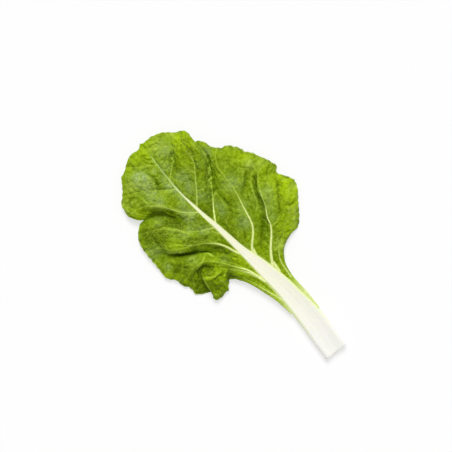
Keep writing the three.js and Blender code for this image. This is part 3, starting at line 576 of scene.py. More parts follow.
# Its ridges and creases, one by one: (height, half width, tone, points), in mm. A crease's height
# is below zero. The tone is painted light and shade: it lightens the green along a ridge as a
# painted highlight, or darkens it where below zero as painted shade in a crease.
RIDGES_AND_CREASES = [
    # the fold on the left, with its bright edge and the deep crease under it
    (2.2, 2.4, 0.55, [(-60, 223), (-57, 218.5), (-53, 214), (-45, 208.3), (-38, 203.2),
     (-30, 198)]),
    (1.2, 2.0, 0.2, [(-30, 198), (-25.5, 192.5), (-22.5, 186), (-20, 178)]),
    (-1.6, 2.6, -0.9, [(-58.5, 219), (-54.5, 212), (-50, 206.5), (-44, 201), (-37, 196),
     (-30, 190.3)]),
    (-1.6, 1.5, -0.8, [(-30, 190.3), (-25, 185.5), (-22.3, 180.5), (-20.5, 175)]),
    (-1.0, 2.0, -0.35, [(-57.5, 249), (-59, 238), (-59.6, 229), (-59, 220)]),
    (0.8, 1.6, 0.4, [(-32, 188.5), (-27.5, 185), (-24.5, 180), (-23.5, 172)]),
    (0.3, 1.0, 0.9, [(-58.4, 219.1), (-54.4, 213.4), (-48.5, 209.2), (-43.5, 205.6),
     (-37.9, 201.1)]),
    (-0.8, 1.3, -0.6, [(-59.1, 243.9), (-59.7, 237), (-59.6, 227), (-59.1, 220.6)]),
    (0.6, 0.9, 0.7, [(-46.7, 243.1), (-42.2, 241.1), (-38.1, 233.8), (-31.5, 227.4),
     (-28.2, 220.9)]),
    # under the fold: the lower left lobe
    (0, 0.9, 0.7, [(-27.2, 184.8), (-25, 179.8), (-24.3, 176.5)]),
    (0.4, 0.9, 0.9, [(-50.4, 167.3), (-46.3, 165.4), (-42.7, 161.8), (-38.1, 159.3),
     (-32.5, 159.1)]),
    (0, 1.0, 1.2, [(-47.2, 170.3), (-49.6, 166.6), (-52.1, 159), (-54.4, 152.3)]),
    (-0.6, 1.6, -0.9, [(-23.9, 155.5), (-23.8, 149.8), (-23.8, 146)]),
    (0.4, 0.8, 0.8, [(-31.9, 152.2), (-26.3, 153.8), (-22.8, 155.3), (-21, 155.2)]),
    (1.3, 1.3, 0.8, [(-51, 179.6), (-44, 181), (-38, 181.4), (-33, 183), (-28, 185)]),
    (-2.2, 2.2, -1.0, [(-36, 171), (-40, 175.5), (-45.5, 177.5), (-49, 174.5), (-51.5, 169)]),
    (-1.6, 2.0, -0.8, [(-51.5, 169), (-53, 163), (-54.5, 157), (-56, 150.5)]),
    (-0.8, 2.4, -0.4, [(-39, 173), (-35.5, 170), (-32, 167)]),
    (1.0, 1.5, 0.3, [(-69, 185.5), (-64, 186.2), (-61, 189), (-57, 194), (-50, 198)]),
    (-1.0, 3.2, -0.5, [(-63, 185), (-58, 188.5), (-53, 190)]),
    (-0.8, 3.0, -0.4, [(-73, 197), (-67, 195), (-61, 195)]),
    (-0.8, 2.5, -0.4, [(-72, 183), (-71, 177), (-68, 172)]),
    (0.8, 2.2, 0.25, [(-50, 193), (-44, 192.5), (-38, 190)]),
    (0.6, 2.0, 0.15, [(-66, 172), (-62, 165), (-60, 158)]),
    (-0.8, 1.8, -0.45, [(-63, 178), (-59, 170), (-57.5, 162)]),
    # the small turned-up lobe
    (1.0, 1.4, 0.6, [(-50, 167), (-46, 163.8), (-41, 161), (-36, 159.6)]),
    (1.0, 1.6, 0.35, [(-50, 167.5), (-47, 171), (-43.5, 173.2), (-39, 171)]),
    (-1.5, 1.7, -0.75, [(-44, 158), (-38, 157), (-32, 156), (-26.5, 157)]),
    (1.2, 1.3, 0.6, [(-31, 153), (-26, 155), (-21.5, 157)]),
    (-1.7, 2.8, -1.0, [(-29.5, 151.5), (-25.5, 152), (-21.5, 151)]),
    (1.0, 1.8, 0.4, [(-39, 153.5), (-36, 150.5), (-33.5, 146.5)]),
    (-1.0, 1.6, -0.5, [(-40.5, 152), (-40.5, 146), (-38.5, 141)]),
    (0.7, 1.4, 0.25, [(-51.5, 164), (-53, 157), (-52, 150)]),
    (-0.8, 2.0, -0.45, [(-47, 157), (-46, 151), (-49, 145)]),
    (0.8, 1.8, 0.3, [(-55.5, 143), (-50, 143.5), (-45.5, 141)]),
    (-0.6, 1.6, -0.35, [(-52, 147.5), (-46, 146.5), (-42, 147.5)]),
    # the left lobe over the fold
    (1.2, 1.9, 0.5, [(-51, 242), (-45, 242.2), (-41.5, 239.5), (-37, 234.5), (-32, 227),
     (-28, 218.5)]),
    (1.0, 1.6, 0.35, [(-28, 218.5), (-24, 213.5), (-20, 208)]),
    (0.8, 1.4, 0.7, [(-37, 271), (-31, 265), (-26, 259), (-22, 253.5)]),
    (0.8, 1.3, 0.3, [(-62, 259), (-57, 255), (-52, 251.3), (-47, 247)]),
    (-0.8, 1.8, -0.4, [(-50, 247), (-46, 243.8), (-41.5, 243)]),
    (-0.8, 2.2, -0.4, [(-50, 236), (-46, 231.5), (-43, 228)]),
    (-1.2, 4.0, -0.7, [(-50, 263), (-42, 261), (-35, 257), (-29, 250), (-26, 241), (-26, 232)]),
    (-0.8, 3.0, -0.5, [(-37, 244), (-31, 237), (-27, 228), (-24, 222)]),
    (0.8, 1.2, 0.35, [(-27.5, 252), (-25.5, 246), (-20.5, 240.5)]),
    (-0.8, 1.6, -0.5, [(-24, 249), (-21, 244)]),
    (-0.8, 2.6, -0.45, [(-29, 208), (-22, 202.5), (-14, 198), (-8, 200)]),
    (-0.9, 2.4, -0.5, [(-17, 186), (-12, 179), (-9, 171)]),
    (0.5, 1.4, 0.3, [(-33, 204), (-28, 205.5), (-24, 204)]),
    # the upper left lobe
    (0.9, 1.5, 0.35, [(-36, 274), (-35.5, 281), (-37.5, 288), (-41, 293)]),
    (-1.0, 2.8, -0.5, [(-38, 276), (-42, 272), (-47, 268)]),
    (-0.9, 1.5, -0.4, [(-53, 287), (-47, 289.5), (-42, 289), (-38, 285)]),
    (0.6, 1.2, 0.25, [(-50, 284), (-45, 286), (-41, 283.5)]),
    (0.8, 2.2, 0.3, [(-58, 288), (-55.5, 280), (-50, 273)]),
    (-0.7, 1.8, -0.4, [(-61, 281), (-57.5, 271), (-54.5, 267)]),
    (0.9, 1.3, 0.4, [(-19, 276), (-15.5, 282.5), (-14, 290), (-15, 296)]),
    (-1.0, 2.0, -0.55, [(-11, 301), (-10, 293), (-10, 285), (-13, 277), (-13, 271)]),
    (-0.7, 1.3, -0.5, [(-21, 281), (-17.5, 279.5), (-15.5, 276)]),
    (0.6, 1.2, 0.2, [(-25, 284), (-23.5, 290), (-26, 296), (-22, 300)]),
    (-0.8, 1.2, -0.35, [(-22.5, 288), (-20, 291.5), (-21.5, 295)]),
    (0.8, 1.3, 0.5, [(-14, 270), (-10.5, 267), (-7, 263)]),
    (0.7, 1.1, 0.35, [(-15, 325), (-14.5, 320), (-13.5, 314)]),
    (-0.7, 2.0, -0.35, [(-18, 323), (-17.5, 317), (-19, 311)]),
    (0.6, 1.1, 0.35, [(-13.5, 309), (-8, 307.5), (-4, 304.5), (-1.5, 301)]),
    (-0.8, 1.3, -0.4, [(-13, 305), (-9, 304), (-6, 301)]),
    (-0.8, 1.8, -0.5, [(-3, 289), (-0.8, 287), (-2, 284.5)]),
    (0.6, 1.1, 0.3, [(-7, 292), (-4, 296), (0, 296.5)]),
    (-0.6, 1.1, -0.35, [(5, 303), (8.5, 307), (12, 311)]),
    # right of the tip
    (-1.0, 1.9, -0.5, [(10.5, 279.5), (16, 281.5), (21, 284.5), (25.5, 288.5)]),
    (0.7, 1.0, 0.3, [(19, 281.5), (24.5, 287), (28, 292), (30, 296)]),
    (-1.0, 2.4, -0.55, [(19, 296), (23, 293.5), (28, 297)]),
    (1.2, 3.6, 0.3, [(37, 276), (38.5, 286), (40.5, 296), (40, 308), (33, 317)]),
    (-1.0, 1.2, -0.55, [(42.5, 292), (43, 285), (43, 276)]),
    (0.7, 1.0, 0.3, [(45, 292), (44.8, 285), (45, 277)]),
    (0.8, 1.1, 0.4, [(50.5, 291), (48.7, 283), (47.8, 275), (47, 269)]),
    (0.6, 1.0, 0.35, [(51.5, 275), (51, 267), (48.5, 262)]),
    (-0.7, 1.6, -0.4, [(38.5, 272), (35, 264), (32.5, 257)]),
    # the puckered valley above the middle of the right side
    (-1.5, 1.7, -0.9, [(12.5, 216.5), (15.5, 219), (18.5, 221)]),
    (-1.4, 1.4, -0.8, [(19.5, 226.3), (22, 227.5), (24.5, 228.8)]),
    (-1.4, 2.0, -0.7, [(25.5, 230), (30, 231.5), (35, 232)]),
    (-1.5, 1.9, -0.8, [(33.5, 236.5), (36.5, 238.5), (39.5, 240)]),
    (-1.2, 1.2, -0.6, [(34, 246), (37.5, 245.5)]),
    (-1.4, 1.5, -0.75, [(39.5, 244), (42, 246.5), (44, 248.5)]),
    (-1.2, 1.6, -0.7, [(43.5, 254.5), (47, 257), (52, 257)]),
    (-0.9, 2.0, -0.9, [(49, 263.5), (52, 262), (53, 266)]),
    (1.2, 1.4, 0.8, [(24, 226), (28, 227.3), (32, 226)]),
    (1.2, 1.3, 1.0, [(32, 242.5), (35.5, 243.5), (38.5, 242.5)]),
    (1.1, 1.2, 1.0, [(38, 248), (42, 251), (46, 253)]),
    (0.9, 1.2, 0.7, [(29, 235), (32, 237.5), (33.5, 241)]),
    (0.8, 1.0, 0.4, [(33.5, 248.5), (36, 250.5)]),
    (1.0, 1.2, 0.8, [(46.5, 260), (49, 262)]),
    (0.8, 1.2, 0.8, [(50, 255), (52.5, 256.5), (55, 256)]),
    (-0.6, 1.6, -0.35, [(45, 219), (47.5, 217.5)]),
    # between the two long right veins
    (-0.7, 2.4, -0.4, [(31.5, 226), (31, 213), (28.5, 203), (26.5, 193)]),
    (-0.5, 2.0, -0.3, [(37, 212), (37, 201)]),
    (0.6, 1.2, 0.3, [(47.5, 210.3), (53, 211.3), (58, 214), (64, 218.5), (70, 224.5), (75, 229)]),
    (-0.8, 3.2, -0.4, [(52, 207.5), (60, 212), (67, 217), (73, 221.5)]),
    (1.0, 1.5, 0.35, [(59.5, 195), (63.5, 202.5), (68, 209), (72.5, 213.6), (78.5, 217)]),
    (-0.9, 1.2, -0.5, [(75.5, 216), (78, 216.8), (80.5, 219.5)]),
    (-2.0, 2.6, -1.0, [(63.5, 198), (67.5, 202.5), (72, 207), (78, 212)]),
    (-1.5, 2.4, -0.75, [(55, 173), (59.5, 183), (61.5, 191), (64, 198)]),
    (-1.2, 3.6, -0.6, [(28, 149), (35, 156.5), (41, 162), (47, 168), (52, 173)]),
    (-0.6, 1.6, -0.4, [(61, 238.5), (65, 243), (69.5, 246.3)]),
    (-0.8, 0.9, -0.5, [(62.4, 234.2), (63.6, 233.8)]),
    (0.5, 0.8, 0.25, [(60.5, 233), (61, 236), (64, 237), (66, 234.5), (65, 231.5)]),
    (0.7, 2.4, 0.35, [(76, 223), (80.5, 225.5), (84, 226)]),
    (0.6, 1.5, 0.25, [(74, 256), (80, 250), (83.5, 244)]),
    (-0.5, 1.3, -0.3, [(68, 251), (72, 252)]),
    # the lower right lobe
    (0.7, 1.0, 0.5, [(51, 154.6), (55.5, 154.6), (60, 155.6), (64.5, 157.5)]),
    (-0.8, 1.0, -0.5, [(51, 152.8), (56, 153)]),
    (-0.8, 1.7, -0.7, [(73.5, 159.2), (78, 161), (80.5, 158.8), (84, 157.3), (88.5, 158.3)]),
    (0.7, 1.4, 0.3, [(60, 138.5), (66, 138), (72, 136.8)]),
    (-0.7, 1.5, -0.4, [(52.5, 137.8), (58, 138), (60.5, 136)]),
    (-0.7, 1.3, -0.35, [(60, 144.5), (65, 143.5), (69, 144)]),
    (0.7, 1.6, 0.25, [(69, 140), (76, 147.5), (83, 154)]),
    (-0.8, 2.4, -0.45, [(62, 155), (69, 163.5), (76, 172), (83, 180.5), (89.5, 189.5), (92, 198)]),
    (0.8, 1.2, 0.3, [(69.5, 149), (73.5, 154), (77.5, 158)]),
    (0.8, 3.0, 0.3, [(78, 163), (86, 168), (91, 173), (95.5, 180)]),
    (0.9, 2.2, 0.25, [(90, 196), (94, 186), (98, 178)]),
    (-0.8, 1.5, -0.4, [(84, 201), (90, 205), (96, 208)]),
    (0.7, 1.6, 0.2, [(68, 176), (74, 184), (79, 193), (83, 201)]),
    # the wings
    (-0.8, 1.7, -0.55, [(-4, 97), (-4.2, 103), (-5, 111), (-6.7, 120.3), (-10.5, 133)]),
    (-0.5, 1.5, -0.4, [(22, 108), (23, 115), (26, 121), (30, 126)]),
    # along the midrib
    (-0.9, 1.6, -0.5, [(10.5, 187), (11, 194), (9.5, 201)]),
    (-1.0, 2.0, -0.5, [(14, 163.5), (19.5, 169.5), (23.5, 176.5), (26, 184)]),
    (0.6, 0.9, 0.4, [(11, 172.5), (14.5, 175.5), (18, 178.5)]),
    (0.6, 0.9, 0.35, [(13.5, 193), (17.5, 196), (22, 200)]),
    (-0.8, 2.4, -0.4, [(21, 145.5), (28, 152)]),
    (0.6, 0.9, 0.45, [(0, 189), (-2.8, 194.5), (-5, 200.5)]),
    (0.5, 0.8, 0.25, [(-11.5, 190.5), (-14, 196)]),
    (-0.8, 1.8, -0.4, [(21.5, 119), (23.5, 125), (27.5, 130.5)]),
]
LINE_TONE = 1.4  # how much that tone counts
LINE_END = 0.2  # share of a line's length over which each end fades
FAINTEST = 0.25  # how strong it still is at its very ends
# Broad patches painted lighter or darker than the rest, mostly painted light and shade and partly
# the green's own variation: (x, y, radius, tone).
LIGHT_AND_SHADE_PATCHES = [
    # the tip
    (-22, 292, 8, 0.6), (-35, 300, 8, 0.5), (-56, 290, 7, 0.5), (-26, 274, 9, 0.1),
    (-12, 261, 6, -0.5), (-16, 272, 5, -0.2), (-35, 284, 6, -0.2), (-11, 300, 4, -0.45),
    (-2, 301, 5, -0.3), (-9, 284, 4, -0.5), (-8, 272, 3, -0.3), (22, 309, 10, 0.5),
    (10, 318, 7, 0.15), (24, 293, 5, -0.45), (16, 279, 5, -0.35), (30, 264, 8, -0.6),
    (16, 264, 6, -0.35), (41, 279, 8, -1.05), (45, 298, 6, -0.65), (54, 278, 5, 0.5),
    (52, 267, 6, 0.6), (40, 291, 7, -0.6), (-20, 313, 5, -0.35), (11, 312, 5, 0.45),
    (-30, 302, 5, 0.35), (20, 289, 4, -0.35), (-10, 255, 5, -0.35),
    # the left side
    (-60, 254, 6, -0.4), (-45, 241, 6, -0.35), (-60, 229, 5, -0.35), (-30, 229, 5, -0.95),
    (-30, 205, 5, -0.7), (-40, 241, 4, -0.4), (-60, 181, 5, -0.45), (-30, 181, 4, -0.4),
    (-50, 169, 4, -0.4), (-20, 193, 5, -0.35), (-47, 176.4, 4, -0.5), (-60, 158, 7, -0.9),
    (-70, 169, 5, -0.5), (-30, 145, 5, -0.8), (-20, 157, 4, -0.3), (-8, 169, 4, -0.3),
    (-46, 265, 5, 0.2), (-28, 262, 5, 0.2), (-38, 258, 5, -0.5), (-60, 245, 10, -1.1),
    (-47, 239, 9, -0.6), (-34, 252, 7, -0.5), (-29, 239, 6, -0.5), (-10, 230, 6, 0.6),
    (-18, 239, 4, 0.35), (-8, 216, 5, 0.3), (-50, 229, 9, -0.3), (-32, 228, 8, -0.6),
    (-33, 207, 9, -1.0), (-39, 218, 5, -0.35), (-9, 205, 5, 0.4), (-17, 201, 7, -0.6),
    (-3, 199, 4, -0.2), (-75, 240, 6, 0.15), (-77, 224, 6, 0.2), (-60, 193, 9, -0.8),
    (-30, 193, 4, 0.5), (-64, 205, 8, -0.2), (-17, 187, 7, -0.4), (-13, 178, 6, -0.4),
    (-16, 170, 7, -0.3), (-3, 170, 6, -0.45), (-14, 165, 8, -0.3), (-39, 169, 11, -0.9),
    (-55, 170, 8, -0.4), (-64, 172, 6, -0.35), (-61, 158, 9, -1.1), (-26, 146, 6, -0.6),
    (-47, 157, 5, -0.4), (-37, 156, 5, -0.3), (-46, 147, 7, -0.3), (-18, 152, 7, -0.7),
    # the wings
    (-8, 97, 5, 1.3), (-10, 109, 5, 0.6), (-2, 107, 4, 0.5), (0, 120, 3, 0.5),
    (-4.5, 104, 2.5, 0.5), (-4.5, 112, 2.5, 0.6), (-5, 118, 2.5, 0.8), (-11.5, 130, 5, -0.4),
    (20, 118, 4, 0.45), (28, 122, 4, -0.2), (30, 128, 4, -0.2),
    # the right side
    (8, 217, 7, -0.75), (4, 204, 4, -0.4), (4, 193, 4, -0.4), (12, 235, 7, -0.1),
    (26, 240, 8, 0.35), (45, 257, 6, 0.3), (36, 248, 6, 0.2), (10, 181, 6, -0.3),
    (26, 193, 8, -0.25), (33, 205, 7, -0.25), (38, 212, 7, -0.25), (48, 230, 7, -0.25),
    (58, 254, 5, -0.25), (74, 229, 9, 0.2), (80, 224, 6, 0.2), (55, 192, 7, 0.45),
    (50, 181, 4, 0.35), (55, 219, 7, 0.2), (39, 180, 5, -0.35), (68, 178, 8, -0.25),
    (92, 194, 5, -0.35), (77, 204, 5, -0.2), (98, 204, 4, 0.2), (60, 156, 6, -0.3),
    (24, 143, 4, -0.25), (40, 134, 7, 0.85), (36, 164, 7, 0.15), (80, 152, 7, 0.3),
    (69, 143, 7, 0.45), (100, 170, 5, 0.75), (90, 217, 6, 0.55), (79, 217, 4, 0.3),
    (80, 169, 5, -0.45), (90, 181, 5, -0.35), (80, 241, 5, -0.35), (40, 229, 4, -0.3),
]
# Painted sheen: where the face is painted greyer, standing in for the soft reflection of the light
# on its wax: (x, y, radius, amount).
SHEEN_SPOTS = [
    (-22, 299, 8, 1.0), (-22, 290, 7, 0.8), (-24, 275, 8, 0.6), (-25, 264, 7, 0.35),
    (8, 289, 6, 0.55), (-4, 272, 4.5, 0.8), (-3, 262, 4.5, 0.8), (-3, 282, 4, 0.4),
    (-4, 294, 4, 0.35), (20, 306, 9, 0.45), (14, 266, 8, 0.5), (13, 252, 6, 0.45),
    (13, 238, 6, 0.35), (20, 229, 5, 0.25), (26, 298, 5, 0.3), (-35, 226, 8, 0.25),
    (-29, 216, 6, 0.3), (-10, 230, 6, 1.0), (-11, 206, 6, 0.65), (-20, 218, 6, 0.3),
    (50, 222, 9, 0.5), (40, 195, 6, 0.3), (-41, 249, 5, 0.4), (-68, 229, 8, 0.35),
    (29, 181, 8, 0.55), (22, 214, 6, 0.35), (56, 164, 6, 0.4), (64, 176, 7, 0.3),
    (72, 187, 8, 0.35), (80, 224, 6, 0.15), (55, 268, 5, 0.4), (-43, 191, 6, 0.3),
    (-18, 165, 5, 0.3), (-2, 250, 6, 0.5), (-10, 241, 5, 0.45), (-21, 303, 5, 0.35),
    (20, 205, 5, 0.35), (-70, 205, 5, 0.4), (38, 265, 4, 0.3),
]


def near_line(line, reach):
    """The blade's points within reach of a line's box, on the drawing or in space: which they are,
    how far off the line they are, and how far along it, from 0 to 1."""
    places = points[:, : line.shape[1]]
    inside = ((places > line.min(0) - reach) & (places < line.max(0) + reach)).all(1)
    close, places = np.flatnonzero(inside), places[inside]
    away, along = np.full(len(close), np.inf), np.zeros(len(close))
    for k, (a, b) in enumerate(zip(line, line[1:])):
        f = np.clip((places - a) @ (b - a) / max((b - a) @ (b - a), 1e-6), 0, 1)
        distance = np.linalg.norm(places - a - f[:, None] * (b - a), axis=1)
        nearer = distance < away
        away[nearer], along[nearer] = distance[nearer], (k + f[nearer]) / (len(line) - 1)
    return close, away, along


def spread(spots, total, join):
    """Joins soft round spots (x, y, radius, amount) to a total, at each of the blade's points."""
    for x, y, radius, amount in spots:
        away = ((points[:, 0] - x) ** 2 + (points[:, 1] - y) ** 2) / radius**2
        total = join(total, amount * np.exp(-away))
    return total


points = blade_net.reshape(-1, 3).copy()
relief, tone = np.zeros(len(points)), np.zeros(len(points))
# Each line raises or sinks the blade, and paints a highlight or a shade along it.
for height, half_width, amount, path in RIDGES_AND_CREASES:
    line = smooth_path([(*point, 0) for point in path], 24)[:, :2]
    close, away, along = near_line(line, 3 * half_width)
    taper = np.minimum(1, np.minimum(along, 1 - along) / LINE_END)
    share = np.exp(-((away / half_width) ** 2)) * (FAINTEST + (1 - FAINTEST) * taper)
    relief[close] += height * share
    tone[close] += LINE_TONE * amount * share**1.5
tone = spread(LIGHT_AND_SHADE_PATCHES, tone, np.add)
bloom = spread(SHEEN_SPOTS, 0, np.add)
blade_net += facing(blade_net) * relief.reshape(t.shape)[..., None]

# The finer side veins: (width at its root, strength, points), in mm.
FINE_VEINS = [
    (2.0, 0.6, [(23.6, 98), (25.3, 108), (27.8, 119), (33, 127.6), (41, 134.6), (50, 138.6),
     (58, 140)]),
    (2.4, 0.8, [(-3.6, 127.5), (-7.6, 135.2), (-11, 141.2), (-16.6, 148), (-21, 154)]),
    (1.0, 0.5, [(4.6, 300), (5.7, 307), (6.3, 314), (6.6, 324)]),
    (1.0, 0.4, [(52, 139.4), (58, 142.5), (64, 147), (70, 153)]),
    (1.2, 0.5, [(48, 155.5), (53, 155), (58, 156), (66, 160)]),
    (1.0, 0.4, [(58, 176), (66, 176), (76, 179)]),
    (1.2, 0.5, [(62, 183), (66, 191), (72, 200), (79, 209), (84, 220)]),
    (1.0, 0.5, [(56, 186), (61, 199), (67, 209.5), (73, 214.5), (80, 217)]),
    (1.0, 0.4, [(47, 212), (54, 216), (62, 224), (69, 232)]),
    (1.0, 0.4, [(42, 198), (50, 202), (57, 209)]),
    (1.0, 0.4, [(40, 190), (34, 196), (30, 206), (29, 216)]),
    (0.9, 0.4, [(50, 236), (57, 240), (64, 247), (72, 252)]),
    (0.9, 0.4, [(51, 246), (48, 253), (49.5, 264), (51.5, 276), (52, 284)]),
    (0.9, 0.4, [(36, 270), (38, 280), (38, 291), (36, 302)]),
    (0.9, 0.4, [(28, 260), (26, 270), (29, 282), (32, 290)]),
    (0.9, 0.4, [(20, 287), (22, 296), (21, 306), (19, 315)]),
    (0.8, 0.4, [(4, 303), (9, 309), (12, 317)]),
    (0.8, 0.4, [(3.6, 303), (-1, 309), (-4, 316), (-6, 323)]),
    (0.9, 0.4, [(-3, 303), (-8, 305), (-14, 311), (-15.5, 319)]),
    (0.9, 0.4, [(-12, 270), (-20, 274), (-27, 282), (-31, 292), (-31, 304)]),
    (0.9, 0.4, [(-24, 257), (-31, 258), (-38, 263), (-44, 270)]),
    (0.9, 0.4, [(-36, 271), (-35, 280), (-38, 289), (-44, 297)]),
    (0.9, 0.4, [(-40, 240), (-43, 249), (-46, 256)]),
    (0.9, 0.4, [(-36, 231), (-44, 233), (-53, 241), (-58, 249)]),
    (1.0, 0.5, [(1, 190), (-4, 197), (-10, 203), (-17, 206), (-25, 209)]),
    (0.9, 0.4, [(-20, 213), (-29, 214), (-37, 219), (-44, 227), (-50, 238)]),
    (0.9, 0.4, [(-33, 204), (-41, 213), (-49, 221), (-57, 232)]),
    (0.9, 0.4, [(-50, 183), (-57, 189), (-62, 197), (-68, 207)]),
    (0.9, 0.4, [(-34, 179), (-44, 188), (-54, 193), (-64, 196), (-73, 200)]),
    (0.9, 0.4, [(-58, 177), (-62, 170), (-64, 163)]),
    (2.0, 0.7, [(-2.8, 86), (-4, 94), (-6, 100), (-8.8, 110), (-11.4, 121), (-14.4, 129.5),
     (-17.6, 137)]),
    (6, 1.0, [(17.5, 113), (19.5, 118.5), (21.6, 124), (22.8, 131)]),
    (5, 1.0, [(11, 142), (13.5, 147), (15.8, 152), (17.2, 158)]),
    (5, 1.0, [(-0.5, 116), (-2.8, 122), (-5, 129), (-7.5, 136)]),
    (1.2, 0.5, [(-6, 126), (-9, 135), (-13, 142.5), (-17, 149), (-22, 157), (-30, 163),
     (-40, 160)]),
    (1.0, 0.4, [(-40, 160), (-46, 156), (-50, 147)]),
    # thin pale lines along the edges of the folds
    (1.4, 0.6, [(-31, 197), (-37.9, 201.1), (-43.5, 205.6), (-48.5, 209.2), (-54.4, 213.4)]),
    (1.2, 0.5, [(-25, 214.9), (-31.5, 227.4), (-38.1, 233.8), (-42.2, 241.1), (-46.7, 243.1)]),
    (1.2, 0.6, [(-32.5, 159.1), (-38.1, 159.3), (-42.7, 161.8), (-46.3, 165.4), (-50.4, 167.3)]),
]
VEIN_REACH = 9  # mm, further off than any point that a vein changes
VEIN_BED = 2.5  # mm, the radius within which a fine vein lies on the blade's highest point
OPEN_LEVEL = 9  # mm, its height where it leaves the blade
FINE_RIB = 0.3  # strength of the rib under it, as a share of its own
FAINT = 0.6  # the strength below which it fades on its way
FADING, LASTING = 0.6, 1.3  # share of its length that stays pale, if it is faint and if not
THINNEST, THICKENING = 0.6, 2.6  # mm across a weak side vein's root, and how much more a strong one
FAR = 30.0  # mm, for a point with no vein in reach

points = blade_net.reshape(-1, 3)  # a view of the net, which follows it from here on
veins = []
for width, strength, path in FINE_VEINS:
    line = smooth_path([(*point, 0) for point in path], 40)
    for point in line:
        near = np.hypot(points[:, 0] - point[0], points[:, 1] - point[1]) < VEIN_BED
        point[2] = points[near, 2].max() if near.any() else OPEN_LEVEL
    lasts = FADING if strength < FAINT else LASTING
    veins.append((line, width, FINE_RIB * strength, strength, lasts))
for guide in guides:
    if guide["vein"]:
        strength, *shown = guide["vein"]
        line = blade_net[guide["column"]][::2]
        veins.append((line, THINNEST + THICKENING * strength**2, strength, *shown))

# Each point keeps how far it is outside the nearest vein, how pale that vein is there, and how much
# of a rib is under it. A vein narrows to a tenth and pales towards its tip, and its rib runs out.
vein_mm = np.full(len(points), FAR)
vein_tone = np.zeros(len(points))
rib = np.zeros(len(points))
for line, width, strength, paleness, lasts in veins:
    close, away, along = near_line(line, VEIN_REACH)
    outside = away - width / 2 * np.maximum((1 - along) ** 1.5, 0.1)
    nearer = outside < vein_mm[close]
    vein_mm[close[nearer]] = outside[nearer]
    kept = 1 - np.clip((along - 0.7 * lasts) / (0.5 * lasts), 0, 1)
    vein_tone[close[nearer]] = (paleness * (0.12 + 0.88 * kept))[nearer]
    swell = 1 - away / (RIB_HALF_WIDTH * (1 - 0.5 * along))
    rib[close] = np.maximum(rib[close], strength * (1 - 0.85 * along) * np.clip(swell, 0, 1))

# Smaller veins branch from both sides of each side vein, and the green between them swells.
BRANCH_SPACING = 8  # mm
BRANCH_STEP = 1.6  # mm
BRANCH_LEAN = 48  # degrees from the vein that they leave, give or take
BRANCH_STEPS = (7, 13)  # how many steps long they are
BRANCH_CLEAR = 12  # rows at each end of a vein that have none
SHORTEST_BRANCH = 4  # steps
SWELL_REACH = 3.6  # mm from a small vein to where the green is highest
SWELL_HEIGHT = 0.9  # mm

across_mm = np.linalg.norm(np.gradient(blade_net, axis=0), axis=2)
along_mm = np.linalg.norm(np.gradient(blade_net, axis=1), axis=2)
random = np.random.default_rng(31)
small_vein_mm = np.minimum(vein_mm, VEIN_REACH)
for guide in guides:
    start_row, turn = float(BRANCH_CLEAR), 1
    while guide["vein"] and start_row < ROWS - BRANCH_CLEAR:
        column, row, lean = float(guide["column"]), start_row, math.radians(BRANCH_LEAN)
        lean *= random.uniform(0.8, 1.25)
        branch = []
        for _ in range(int(random.uniform(*BRANCH_STEPS))):
            c, r = int(round(column)), int(round(row))
            if not (1 <= c < len(blade_net) - 1 and r < ROWS - 1):
                break
            branch.append(blade_net[c, r])
            column += turn * math.sin(lean) * BRANCH_STEP / max(across_mm[c, r], 0.3)
            row += math.cos(lean) * BRANCH_STEP / along_mm[c, r]
            lean *= random.uniform(0.85, 1.05)
        turn = -turn
        start_row += BRANCH_SPACING / 2 / along_mm[guide["column"], int(start_row)]
        if len(branch) < SHORTEST_BRANCH:
            continue
        branch = np.array(branch)
        branch[1:-1] = (branch[:-2] + branch[1:-1] * 2 + branch[2:]) / 4
        close, away, _ = near_line(branch, VEIN_REACH)
        small_vein_mm[close] = np.minimum(small_vein_mm[close], away)

# Where the green is crumpled into sharp little folds: (x, y, radius, amount), in mm.
CRUMPLES = [
    (-21, 291, 13, 0.9), (40, 249, 14, 1.0), (50, 262, 12, 0.9), (30, 235, 10, 0.6),
    (-48, 285, 12, 0.5), (-5, 262, 9, 0.4), (-48, 243, 12, 0.6), (-18, 209, 8, 0.5),
    (63, 234, 6, 0.6), (80, 161, 9, 0.5), (-40, 150, 12, 0.5), (-2, 300, 9, 0.5),
    (14, 190, 10, 0.35),
]
# Where the tissue is young and yellower, besides the margin: (x, y, radius, amount).
YOUNG = [
    (94, 178, 20, 1.0), (88, 160, 15, 0.8), (66, 143, 16, 0.5), (43, 298, 15, 1.0),
    (-20, 316, 8, 0.8), (38, 278, 10, 0.6), (5, 320, 14, 0.7), (-10, 318, 12, 0.6),
    (-54, 272, 10, 0.6), (82, 236, 12, 0.8), (28, 108, 18, 0.4), (-12, 118, 22, 0.4),
    (-8, 88, 12, 1.0), (26, 92, 12, 1.0), (-8, 146, 12, 0.5), (-38, 164, 11, 0.8),
    (-36, 214, 14, 0.5), (-76, 198, 10, 0.5), (20, 160, 12, 0.3), (70, 205, 8, 0.3),
]
YOUNG_RIM = 0.2  # share of the way from the midrib that the young margin takes up
YOUNG_RIM_TINT = 0.4  # how young it is at the very edge
WING_TOP, WING_FADE = 108, 30  # mm, the y that the quilt stops at, and how far above it is full
WING_FOOT_Y = (92, 98)  # mm, where the left and the right wing start to turn pale
WING_FOOT_FADE = 26  # mm
FRINGE = 2  # mm, how far the pale fringe along the midrib reaches
FRINGE_Y, FRINGE_FADE = 240, 60  # mm, the y by which it is weakest, and how far below it is full
RIM_LIGHT = 0.4  # how much painted light lightens the rim beside it
HOLLOW_DEPTH = 1.6  # mm below the mean round about, where a hollow is at its darkest
LEVELLING = 60  # rounds that find that mean
NARROW = 14  # mm, where the blade's width starts to count as narrow
EVENING = 120  # rounds that even out a narrow wing
EASING = 40  # rounds that ease sharp folds
SHARP = 0.99  # cosine between a point's facing and its neighbours', where a fold starts to be sharp


